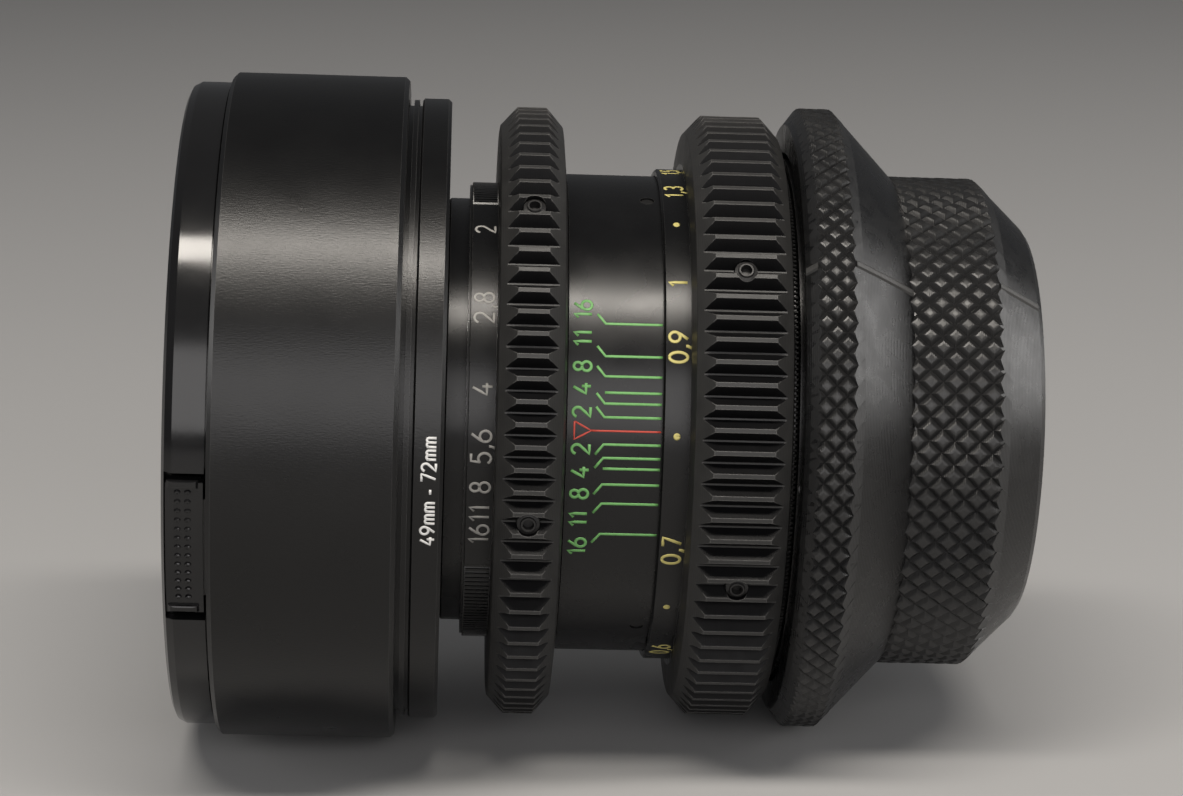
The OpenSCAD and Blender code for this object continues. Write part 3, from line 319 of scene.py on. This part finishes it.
def barrel_pattern():
    """A tree that repeats its own piece round and along a barrel, each copy standing outwards."""
    tree = bpy.data.node_groups.new("barrel_pattern", "GeometryNodeTree")
    sockets = tree.interface
    sockets.new_socket("Unit", in_out="INPUT", socket_type="NodeSocketGeometry")
    for name in ("Around", "Along"):
        sockets.new_socket(name, in_out="INPUT", socket_type="NodeSocketInt")
    for name in ("First angle", "Angle step", "First station", "Station step", "Radius"):
        sockets.new_socket(name, in_out="INPUT", socket_type="NodeSocketFloat")
    sockets.new_socket("Finish", in_out="INPUT", socket_type="NodeSocketMaterial")
    sockets.new_socket("Pattern", in_out="OUTPUT", socket_type="NodeSocketGeometry")
    given = tree.nodes.new("NodeGroupInput").outputs
    made = tree.nodes.new("NodeGroupOutput")

    def sum_of(operation, *values):
        node = tree.nodes.new("ShaderNodeMath")
        node.operation = operation
        for socket, value in zip(node.inputs, values):
            if isinstance(value, (int, float)):
                socket.default_value = value
            else:
                tree.links.new(value, socket)
        return node.outputs[0]

    points = tree.nodes.new("GeometryNodePoints")
    tree.links.new(sum_of("MULTIPLY", given["Around"], given["Along"]), points.inputs["Count"])
    index = tree.nodes.new("GeometryNodeInputIndex").outputs[0]
    column = sum_of("FLOORED_MODULO", index, given["Along"])
    past_whole = 0.001
    row = sum_of("FLOOR", sum_of("DIVIDE", sum_of("ADD", index, past_whole), given["Along"]))
    turn = sum_of("MULTIPLY_ADD", row, given["Angle step"], given["First angle"])
    station = sum_of("MULTIPLY_ADD", column, given["Station step"], given["First station"])
    inward = sum_of("MULTIPLY", given["Radius"], -1)
    place = tree.nodes.new("ShaderNodeCombineXYZ")
    tree.links.new(station, place.inputs[0])
    tree.links.new(sum_of("MULTIPLY", inward, sum_of("COSINE", turn)), place.inputs[1])
    tree.links.new(sum_of("MULTIPLY", inward, sum_of("SINE", turn)), place.inputs[2])
    set_place = tree.nodes.new("GeometryNodeSetPosition")
    tree.links.new(points.outputs[0], set_place.inputs["Geometry"])
    tree.links.new(place.outputs[0], set_place.inputs["Position"])
    spin = tree.nodes.new("ShaderNodeCombineXYZ")
    tree.links.new(sum_of("ADD", turn, math.pi / 2), spin.inputs[0])
    stand = tree.nodes.new("FunctionNodeEulerToRotation")
    tree.links.new(spin.outputs[0], stand.inputs[0])
    copies = tree.nodes.new("GeometryNodeInstanceOnPoints")
    tree.links.new(set_place.outputs[0], copies.inputs["Points"])
    tree.links.new(given["Unit"], copies.inputs["Instance"])
    tree.links.new(stand.outputs[0], copies.inputs["Rotation"])
    solid = tree.nodes.new("GeometryNodeRealizeInstances")
    tree.links.new(copies.outputs[0], solid.inputs[0])
    finish = tree.nodes.new("GeometryNodeSetMaterial")
    tree.links.new(solid.outputs[0], finish.inputs["Geometry"])
    tree.links.new(given["Finish"], finish.inputs["Material"])
    tree.links.new(finish.outputs[0], made.inputs[0])
    return tree


pattern = barrel_pattern()


def repeat_on_barrel(name, unit, body, slot, **sizes):
    """Runs the pattern on a unit's mesh and keeps the plain result as one piece on a body."""
    piece = bpy.data.objects.new(name, unit)
    bpy.context.scene.collection.objects.link(piece)
    copier = piece.modifiers.new("pattern", "NODES")
    copier.node_group = pattern
    values = {key.replace("_", " ").capitalize(): value for key, value in sizes.items()}
    for socket in pattern.interface.items_tree:
        if socket.in_out == "INPUT" and socket.name in values:
            copier[socket.identifier] = values[socket.name]
    bpy.context.view_layer.update()
    plain = bpy.data.meshes.new_from_object(piece.evaluated_get(bpy.context.evaluated_depsgraph_get()))
    piece.modifiers.clear()
    piece.data = plain
    piece.data.name = name
    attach(piece, body)


def skin(made, loops):
    """Joins each pair of neighbouring loops with a band of faces."""
    for low, high in zip(loops, loops[1:]):
        for i in range(len(low)):
            j = (i + 1) % len(low)
            made.faces.new((low[i], low[j], high[j], high[i]))


def cap(made, loops):
    """Closes the first and the last of a row of loops."""
    made.faces.new(loops[0][::-1])
    made.faces.new(loops[-1])


def stack(name, levels, sides, stretch=(1.0, 1.0), turn=0.0):
    """A closed unit of stacked outlines, each level a (radius, height) pair, pointing outwards."""
    made = bmesh.new()
    hoops = []
    for radius, height in levels:
        hoop = []
        for i in range(sides):
            a = turn + 2 * math.pi * i / sides
            x, y = radius * stretch[0] * math.cos(a), radius * stretch[1] * math.sin(a)
            hoop.append(made.verts.new((x, y, height)))
        hoops.append(hoop)
    skin(made, hoops)
    cap(made, hoops)
    mesh = bpy.data.meshes.new(name)
    made.to_mesh(mesh)
    made.free()
    return mesh


matt, tree, shader, where = blank_finish("matt_black", 0.5)
mottle(tree, shader, where, (0.007, 0.007, 0.007), (0.012, 0.012, 0.012), scale=300, rough=(0.44, 0.58))
shader.inputs["Specular IOR Level"].default_value = 0.3
turned(tree, shader, where, pitch=0.35 * mm, depth=0.02 * mm)
grip_r, grip_at, grip_ribs = 30.48 * mm, -3.78 * mm, 312
square_on = math.pi / 4
rib = stack(
    "grip_rib", [(1.0, -0.1 * mm), (1.0, 0.12 * mm), (0.55, 0.26 * mm)], sides=4,
    stretch=(0.40 * mm, 0.24 * mm), turn=square_on,
)
repeat_on_barrel(
    "grip_ribs", rib, "focus", "barrel_black", around=grip_ribs, along=1, first_angle=0.0,
    angle_step=2 * math.pi / grip_ribs, first_station=grip_at, station_step=0.0, radius=grip_r, finish=matt,
)


# Focus gear ring and its grub screws.
# Printed in black plastic and slid over the focus grip, where six grub screws clamp it. The layers
# run round the axis. Painted shade blacks the gaps between teeth, and the paler tooth edges are partly
# wear and partly a painted highlight.
def printed_finish(name, rough, shine, tone, paler):
    finish, tree, shader, where = blank_finish(name, rough)
    mottle(tree, shader, where, tone, paler, scale=420, rough=(rough - 0.05, rough + 0.06))
    shader.inputs["Specular IOR Level"].default_value = shine
    return finish, tree, shader, where


def layered(tree, shader, where):
    """The printer's layers, and the grain of the plastic."""
    turned(tree, shader, where, pitch=0.20 * mm, depth=0.010 * mm, strength=0.8, waver=1.2)
    grain(tree, shader, where, size=0.12 * mm, depth=0.006 * mm)


def toothed_finish(name, root):
    """Printed dark grey plastic, with painted shade that makes the gaps between teeth black and less
    glossy.
    """
    shine, land_tone, paler = 0.45, (0.019, 0.019, 0.019), (0.033, 0.0325, 0.0315)
    shaded_gap_shine, painted_gap_shade = 0.14, (0.004, 0.004, 0.0045)
    flank, land = 0.5, 0.25
    finish, tree, shader, where = printed_finish(name, 0.46, shine, land_tone, paler)
    # Painted shade: faces that look round the axis, the flanks in the gaps, are painted black and given
    # less shine.
    about = vector_step(tree, "CROSS_PRODUCT", where, (1.0, 0.0, 0.0))
    unit = vector_step(tree, "NORMALIZE", about.outputs["Vector"])
    face = tree.nodes.new("ShaderNodeNewGeometry")
    facing = vector_step(tree, "DOT_PRODUCT", unit.outputs["Vector"], face.outputs["True Normal"])
    either = tree.nodes.new("ShaderNodeMath")
    either.operation = "ABSOLUTE"
    tree.links.new(facing.outputs["Value"], either.inputs[0])
    clear_of_gap_shade = run_between(tree, either.outputs[0], flank, land).outputs["Result"]
    base = shader.inputs["Base Color"].links[0].from_socket
    tree.links.new(blend(tree, clear_of_gap_shade, painted_gap_shade, base), shader.inputs["Base Color"])
    gloss = run_between(tree, clear_of_gap_shade, 0.0, 1.0, shaded_gap_shine, shine)
    tree.links.new(gloss.outputs["Result"], shader.inputs["Specular IOR Level"])
    soft = tree.nodes.new("ShaderNodeBevel")
    soft.samples = 6
    soft.inputs["Radius"].default_value = 0.12 * mm
    tree.links.new(soft.outputs["Normal"], shader.inputs["Normal"])
    layered(tree, shader, where)
    # The paler tooth edges are partly wear and partly a painted highlight on the rounded edges.
    paler_edges(tree, shader, where, width=0.16 * mm, tone=(0.15, 0.148, 0.144), above=root + 0.8 * mm)
    return finish


focus_root_r, focus_grub_at, focus_grub_angle = 35.04 * mm, -9.95 * mm, math.radians(33)
dress(toothed_finish("printed_focus_teeth", focus_root_r), "focus_gear")

blackened, tree, shader, where = blank_finish("blackened_steel", 0.40, metal=0.2)
mottle(tree, shader, where, (0.010, 0.010, 0.011), (0.024, 0.023, 0.022), scale=1500, rough=(0.38, 0.54))
grain(tree, shader, where, size=0.06 * mm, depth=0.003 * mm)
paler_edges(tree, shader, where, width=0.04 * mm, tone=(0.05, 0.05, 0.05))
dress(blackened, "focus_gear_screws")


def grub_ends(name, body, root, station, angle):
    """The ends of a gear's six grub screws between the teeth: a thread and a socket, drawn round."""
    screws, low, high, pitch = 6, -0.2 * mm, 1.15 * mm, 0.4 * mm
    valley_r, crest_r, rim_r, socket_r, socket_depth = 0.95 * mm, 1.28 * mm, 0.82 * mm, 0.66 * mm, 0.9 * mm
    levels = [(valley_r, low)]
    for i in range(int((high - low) / pitch)):
        levels += [(crest_r, low + (i + 0.35) * pitch), (crest_r, low + (i + 0.5) * pitch),
                   (valley_r, low + (i + 0.85) * pitch)]
    levels += [(rim_r, high), (socket_r, high), (0.6 * mm, high - socket_depth)]
    repeat_on_barrel(
        name, stack(name + "_unit", levels, sides=18), body, "black_steel", around=screws, along=1,
        first_angle=angle - lie_roll, angle_step=2 * math.pi / screws, first_station=station,
        station_step=0.0, radius=root, finish=blackened,
    )


grub_ends("focus_grub_ends", "focus", focus_root_r, focus_grub_at, focus_grub_angle)


# Core barrel, helicoid barrel and depth-scale barrel.
# The carriage that moves with the optics. Only the depth scale shows: turned black enamel with green
# lines and numbers either side of a red index, all engraved and filled.
dress(bare, "core_barrel", "helicoid_barrel")
dress(steel, "core_screws")
dress(enamel, "scale_barrel")
dress(blackened, "scale_barrel_screws")

scale_r, index_at, per_stop = 28.88 * mm, math.radians(4.2), math.radians(1.54)
line_end, knee, jog, jog_out = -18.9 * mm, -25.4 * mm, -26.35 * mm, 1.17 * mm
number_at, number_height = -28.0 * mm, 2.0 * mm
number_angles = {"2": 4.2, "4": 9.5, "8": 14.6, "11": 21.0, "16": 28.1}
green = paint_finish("green_fill", (0.19, 0.47, 0.15), (0.13, 0.36, 0.10))
red = paint_finish("red_fill", (0.62, 0.075, 0.045), (0.48, 0.05, 0.035))
lines, numbers = [], []
for side in (-1, 1):
    for stop in (2, 4, 5.6, 8, 11, 16):
        s = scale_r * (index_at + side * stop * per_stop)
        if stop == 5.6:
            lines.append([(knee, s), (line_end, s)])
        else:
            lines.append([(jog, s + side * jog_out), (knee, s), (line_end, s)])
    for words, away in number_angles.items():
        place = index_at + side * math.radians(away)
        numbers += lettering(words, number_at, place, number_height, scale_r)
paint("depth_lines", lines, scale_r, 0.32 * mm, green, "carriage")
paint("depth_numbers", numbers, scale_r, 0.36 * mm, green, "carriage")
mid, half = scale_r * index_at, scale_r * math.radians(2.05)
base, point = -28.77 * mm, -26.85 * mm
pointer = [(base, mid - half), (point, mid), (base, mid + half), (base, mid - half)]
index_line = [(point, mid), (line_end, mid)]
paint("index_mark", [pointer, index_line], scale_r, 0.22 * mm, red, "carriage")


# Glass, cells and retainers.
# Six coated elements in four groups, held in blackened cells by threaded rings.
glass, tree, shader, where = blank_finish("coated_glass", 0.02)
mottle(tree, shader, where, (0.93, 0.96, 0.98), (0.96, 0.97, 0.96), scale=60, rough=(0.01, 0.03))
shader.inputs["Transmission Weight"].default_value = 1.0
shader.inputs["IOR"].default_value = 1.62
shader.inputs["Coat Weight"].default_value = 0.35
shader.inputs["Coat Tint"].default_value = (0.75, 0.62, 0.95, 1.0)
dress(glass, *["lens_%d" % i for i in range(1, 7)])

dress(matt, "front_cell", "front_retainer", "doublet_retainer", "rear_cell", "rear_retainer")
dress(steel, "rear_cell_screws")


# Iris.
# Eight blackened spring-steel blades pivot on the seat, which screws hold, and follow the slots of a
# bare aluminium cam that a steel pin drives.
blade_black, tree, shader, where = blank_finish("blade_black", 0.38, metal=0.7)
mottle(tree, shader, where, (0.030, 0.030, 0.033), (0.050, 0.048, 0.048), scale=500, rough=(0.32, 0.46))
grain(tree, shader, where, size=0.2 * mm, depth=0.002 * mm)
dress(blade_black, *["iris_blade_%d" % i for i in range(1, 9)])
dress(matt, "iris_seat")
dress(steel, "iris_seat_screws", "drive_pin")
dress(bare, "iris_cam")


# Aperture ring, its gear ring and grub screws.
# The ring is turned and enamelled. Its gear is printed like the focus gear, and six grub screws clamp
# it on.
dress(enamel, "aperture_ring")
dress(blackened, "aperture_gear_screws")
aperture_root_r, aperture_grub_at, aperture_grub_angle = 35.44 * mm, -33.85 * mm, math.radians(20.5)
dress(toothed_finish("printed_aperture_teeth", aperture_root_r), "aperture_gear")
grub_ends("aperture_grub_ends", "aperture", aperture_root_r, aperture_grub_at, aperture_grub_angle)


# Preset ring.
# Turned and enamelled black. Its stop numbers are filled in white that has gone grey, and outside them
# it has fine ribs for the fingers, each with a thin crest.
dress(enamel, "preset_ring")
preset_r, preset_at, preset_height = 27.55 * mm, -39.25 * mm, 2.25 * mm
grey_white = paint_finish("aged_white_fill", (0.55, 0.54, 0.51), (0.38, 0.37, 0.35))
stops = {"2": -49.6, "2,8": -25.1, "4": -4.8, "5,6": 9.0, "8": 18.8, "11": 25.8, "16": 31.4}
paths = []
for words, angle in stops.items():
    paths += lettering(words, preset_at, math.radians(angle), preset_height, preset_r)
paint("stop_numbers", paths, preset_r, 0.33 * mm, grey_white, "preset")
ribs_a_turn, preset_ribs, first_rib = 231, 165, math.radians(41.0)
crest = stack(
    "preset_crest", [(1.0, -0.25 * mm), (1.0, -0.03 * mm), (0.98, 0.03 * mm)], sides=4,
    stretch=(2.0 * mm, 0.26 * mm), turn=square_on,
)
repeat_on_barrel(
    "preset_crests", crest, "preset", "barrel_black", around=preset_ribs, along=1,
    first_angle=first_rib - lie_roll, angle_step=2 * math.pi / ribs_a_turn, first_station=preset_at,
    station_step=0.0, radius=preset_r, finish=enamel,
)


# Front rim, step-up ring and front clamp ring.
# The adapter rings are turned aluminium, black anodised to a fine satin grain. The step-up ring has
# its two thread sizes printed on it in white.
dress(enamel, "front_rim")
anodised, tree, shader, where = blank_finish("satin_anodised", 0.29)
mottle(tree, shader, where, (0.002, 0.002, 0.0022), (0.004, 0.004, 0.0042), scale=120, rough=(0.27, 0.32))
shader.inputs["Specular IOR Level"].default_value = 0.42
grain(tree, shader, where, size=0.16 * mm, depth=0.014 * mm, run=3.5)
paler_edges(tree, shader, where, width=0.10 * mm, tone=(0.05, 0.05, 0.05))
dress(anodised, "step_up_ring", "front_ring")
step_r, print_at, print_angle, print_height = 37.5 * mm, -45.1 * mm, math.radians(14.55), 1.57 * mm
white = paint_finish("white_print", (0.80, 0.80, 0.79), (0.70, 0.70, 0.69))
sizes_print = lettering("49mm - 72mm", print_at, print_angle, print_height, step_r)
paint("thread_sizes", sizes_print, step_r, 0.29 * mm, white, "carriage")

thread_r, thread_crest_r, thread_half, thread_crest_half = 38.3 * mm, 38.02 * mm, 0.36 * mm, 0.04 * mm
thread_sides, thread_turns, thread_at, thread_pitch = 128, 4, -67.4 * mm, 0.76 * mm
ridge = bmesh.new()
loops = []
for radius, station in (
    (thread_r, -thread_half), (thread_crest_r, -thread_crest_half),
    (thread_crest_r, thread_crest_half), (thread_r, thread_half),
):
    turns = [2 * math.pi * i / thread_sides for i in range(thread_sides)]
    loops.append([ridge.verts.new((station, radius * math.cos(a), radius * math.sin(a))) for a in turns])
skin(ridge, loops + loops[:1])
bmesh.ops.recalc_face_normals(ridge, faces=ridge.faces)
thread = bpy.data.meshes.new("thread_ridge")
ridge.to_mesh(thread)
ridge.free()
repeat_on_barrel(
    "filter_thread", thread, "carriage", "anodised_black", around=1, along=thread_turns,
    first_angle=-math.pi / 2, angle_step=0.0, first_station=thread_at, station_step=thread_pitch,
    radius=0.0, finish=anodised,
)


# Front cap and its two pinch tabs.
# Moulded in glossy black plastic. Each tab has a pad with raised dots and a lip at either end.
moulded, tree, shader, where = blank_finish("glossy_plastic", 0.14)
mottle(tree, shader, where, (0.006, 0.006, 0.0065), (0.009, 0.009, 0.0095), scale=90, rough=(0.10, 0.20))
grain(tree, shader, where, size=0.6 * mm, depth=0.003 * mm, strength=0.5)
dress(moulded, "front_cap", "front_cap_back", "pinch_tab_near", "pinch_tab_far")
pad_r, dots_round, dots_along = 38.6 * mm, 13, 2
dots_at, dots_pitch, dots_angle, dots_span = -72.7 * mm, 1.13 * mm, math.radians(14.9), math.radians(19.4)
lips_at, lips_angle, lips_span = -72.15 * mm, math.radians(13.6), math.radians(23.0)
dot = stack(
    "pad_dot", [(1.0, -0.1 * mm), (1.0, 0.06 * mm), (0.8, 0.2 * mm), (0.4, 0.28 * mm)], sides=10,
    stretch=(0.38 * mm, 0.27 * mm),
)
lip = stack(
    "pad_lip", [(1.0, -0.2 * mm), (1.0, 0.12 * mm), (0.86, 0.34 * mm), (0.6, 0.42 * mm)], sides=4,
    stretch=(2.45 * mm, 0.62 * mm), turn=square_on,
)
for body, turn in (("tab_near", 0.0), ("tab_far", math.pi)):
    repeat_on_barrel(
        "pad_dots_" + body, dot.copy(), body, "cap_black", around=dots_round, along=dots_along,
        first_angle=dots_angle - lie_roll + turn, angle_step=dots_span / (dots_round - 1),
        first_station=dots_at, station_step=dots_pitch, radius=pad_r, finish=moulded,
    )
    repeat_on_barrel(
        "pad_lips_" + body, lip.copy(), body, "cap_black", around=2, along=1,
        first_angle=lips_angle - lie_roll + turn, angle_step=lips_span, first_station=lips_at,
        station_step=0.0, radius=pad_r, finish=moulded,
    )


# Rear cap.
# A printed black cup in two tiers, each with a band of diamond knurl, and the printer's seam down one
# side of its smooth faces.
printed, tree, shader, where = printed_finish(
    "printed_cup", 0.28, 0.45, (0.003, 0.003, 0.0035), (0.006, 0.006, 0.006)
)
layered(tree, shader, where)
dress(printed, "rear_cap")
# Painted light: the knurl is the cup's own plastic painted lighter, so the diamond tops read as lit.
knurl_painted_lighter, tree, shader, where = printed_finish(
    "printed_knurl", 0.36, 0.55, (0.008, 0.008, 0.0085), (0.016, 0.016, 0.016)
)
layered(tree, shader, where)
mouth_x, band_x, taper_x = -3.2 * mm, -2.0 * mm, 2.45 * mm
barrel_x, chamfer_x, end_x = 9.95 * mm, 20.15 * mm, 25.35 * mm
mouth_r, band_r, barrel_r, end_r = 35.58 * mm, 37.13 * mm, 29.2 * mm, 24.2 * mm


def knurl(name, around, columns, first, pitch, radius, cuts):
    """A band of diamonds; its unit is a row along the axis, cut off where the smooth cones begin."""
    step = 2 * math.pi / around
    levels = [(1.0, -0.9 * mm), (1.0, 0.0), (0.66, 0.34 * mm), (0.5, 0.46 * mm), (0.26, 0.5 * mm)]
    made = bmesh.new()
    for k in range(columns):
        hoops = []
        for share, height in levels:
            hoop = []
            for along, side in ((1, 0), (0, 1), (-1, 0), (0, -1)):
                x, turn = first + (k + along * share) * pitch / 2, (k % 2 / 2 + side * share / 2) * step
                lift = radius + height
                hoop.append(made.verts.new((x, lift * math.sin(turn), lift * math.cos(turn) - radius)))
            hoops.append(hoop)
        skin(made, hoops)
        cap(made, hoops)
    for x, out in cuts:
        every = made.verts[:] + made.edges[:] + made.faces[:]
        bmesh.ops.bisect_plane(made, geom=every, plane_co=(x, 0.0, 0.0), plane_no=out, clear_outer=True)
        bmesh.ops.holes_fill(made, edges=[edge for edge in made.edges if edge.is_boundary], sides=0)
    bmesh.ops.recalc_face_normals(made, faces=made.faces)
    unit = bpy.data.meshes.new(name + "_row")
    made.to_mesh(unit)
    made.free()
    repeat_on_barrel(
        name, unit, "rear_cap_body", "printed_black", around=around, along=1, first_angle=0.02,
        angle_step=step, first_station=0.0, station_step=0.0, radius=radius, finish=knurl_painted_lighter,
    )


lead_cut = (band_x, (mouth_r - band_r, 0.0, band_x - mouth_x))
taper_cut = (taper_x, (band_r - barrel_r, 0.0, barrel_x - taper_x))
end_cut = (chamfer_x, (barrel_r - end_r, 0.0, end_x - chamfer_x))
knurl("wide_knurl", around=96, columns=6, first=-2.3 * mm, pitch=2.35 * mm, radius=band_r,
      cuts=(lead_cut, taper_cut))
knurl("narrow_knurl", around=68, columns=9, first=10.25 * mm, pitch=2.9 * mm, radius=barrel_r,
      cuts=(end_cut,))

# Painted highlight: the seam bead is the cup's own plastic painted much paler, so it reads as a lit ridge.
seam_painted_highlight, tree, shader, where = printed_finish(
    "printed_seam", 0.42, 0.5, (0.035, 0.035, 0.034), (0.06, 0.059, 0.057)
)
layered(tree, shader, where)
seam_steps, seam_angle, seam_drift = 10, -27.3, 0.25
bead_outline = ((-0.75, -0.2), (-0.25, 0.26), (0.25, 0.26), (0.6, -0.2))
smooth_faces = (
    (mouth_x, mouth_r, band_x, band_r),
    (taper_x, band_r, barrel_x, barrel_r),
    (chamfer_x, barrel_r, end_x, end_r),
)
for part, (near_x, near_r, far_x, far_r) in enumerate(smooth_faces):
    made = bmesh.new()
    rows = []
    for i in range(seam_steps + 1):
        t = i / seam_steps
        x, r = near_x + (far_x - near_x) * t, near_r + (far_r - near_r) * t
        wander = math.radians(seam_angle - seam_drift * max(x, 0.0) / mm)
        points = [on_barrel(x, wander + across * mm / r, r + out * mm) for across, out in bead_outline]
        rows.append([made.verts.new(point) for point in points])
    skin(made, rows)
    cap(made, rows)
    bmesh.ops.recalc_face_normals(made, faces=made.faces)
    mesh = bpy.data.meshes.new("seam_%d" % part)
    made.to_mesh(mesh)
    made.free()
    mesh.materials.append(seam_painted_highlight)
    seam = bpy.data.objects.new("print_seam_%d" % part, mesh)
    bpy.context.scene.collection.objects.link(seam)
    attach(seam, "rear_cap_body")


# Studio.
# A plain pale floor that the front ring and the rear cap both touch, a soft strip of light overhead, a
# broad one by the camera, a weak one at either end, and a long lens that looks a little down.
floor_mesh = bpy.data.meshes.new("floor")
front_x, front_low, rear_x, rear_low, daylight = -49.1 * mm, 40.0 * mm, 2.0 * mm, 37.63 * mm, 0.02 * mm
slope = (front_low - rear_low) / (rear_x - front_x)
reach = 4.0
corners = []
for x, y in ((-reach, -reach), (reach, -reach), (reach, reach), (-reach, reach)):
    corners.append((x, y, slope * (x - front_x) - front_low - daylight))
floor_mesh.from_pydata(corners, [], [(0, 1, 2, 3)])
floor = bpy.data.objects.new("floor", floor_mesh)
bpy.context.scene.collection.objects.link(floor)
pale, tree, shader, where = blank_finish("pale_floor", 0.85)
mottle(tree, shader, where, (0.39, 0.39, 0.395), (0.42, 0.42, 0.42), scale=3.0)
grain(tree, shader, where, size=0.5 * mm, depth=0.02 * mm, strength=0.4)
floor_mesh.materials.append(pale)

world = bpy.data.worlds.new("studio")
bpy.context.scene.world = world
world.use_nodes = True
lamp = world.node_tree.nodes["Background"]
lamp.inputs["Color"].default_value = (0.50, 0.51, 0.53, 1.0)
lamp.inputs["Strength"].default_value = 0.17


def soft_light(name, place, aim, size, power, tint):
    data = bpy.data.lights.new(name, "AREA")
    data.shape = "RECTANGLE"
    data.size, data.size_y = size
    data.energy = power
    data.color = tint
    light = bpy.data.objects.new(name, data)
    bpy.context.scene.collection.objects.link(light)
    light.location = place
    light.rotation_mode = "QUATERNION"
    light.rotation_quaternion = (Vector(aim) - Vector(place)).to_track_quat("-Z", "Y")


soft_light("overhead", (-0.05, -0.30, 0.70), (-0.03, 0.0, 0.0), (0.80, 0.12), 6.4, (1.0, 0.94, 0.86))
soft_light("front", (0.10, -1.05, 0.36), (-0.03, 0.0, 0.0), (1.2, 0.60), 5.2, (1.0, 0.97, 0.96))
soft_light("right", (0.80, 0.17, 0.15), (0.0, 0.0, 0.0), (0.6, 0.30), 2.0, (1.0, 0.98, 0.96))
soft_light("left", (-0.90, 0.15, 0.15), (-0.05, 0.0, 0.0), (0.6, 0.30), 1.6, (1.0, 0.98, 0.96))


def swung(one, other, angle):
    """Two directions swung together, the first towards the second."""
    return one * math.cos(angle) + other * math.sin(angle), other * math.cos(angle) - one * math.sin(angle)


camera_data = bpy.data.cameras.new("camera")
camera_data.sensor_width = 36.0
camera_data.lens = 101.24
camera_data.clip_start, camera_data.clip_end = 0.01, 20.0
camera = bpy.data.objects.new("camera", camera_data)
bpy.context.scene.collection.objects.link(camera)
bpy.context.scene.camera = camera
abreast, distance = Vector((-43.66 * mm, 0.0, 0.0)), 0.4055
swing, tip, tilt = math.radians(2.546), math.radians(0.241), math.radians(1.45)
ahead = Vector((0.0, math.cos(lie_roll), -math.sin(lie_roll)))
right = Vector((1.0, 0.0, 0.0))
up = right.cross(ahead)
camera.location = abreast - ahead * distance
ahead, right = swung(ahead, right, swing)
ahead, up = swung(ahead, up, tip)
right, up = swung(right, up, tilt)
camera.rotation_mode = "QUATERNION"
camera.rotation_quaternion = Matrix((right, up, -ahead)).transposed().to_quaternion()
bpy.context.scene.view_settings.view_transform = "Standard"
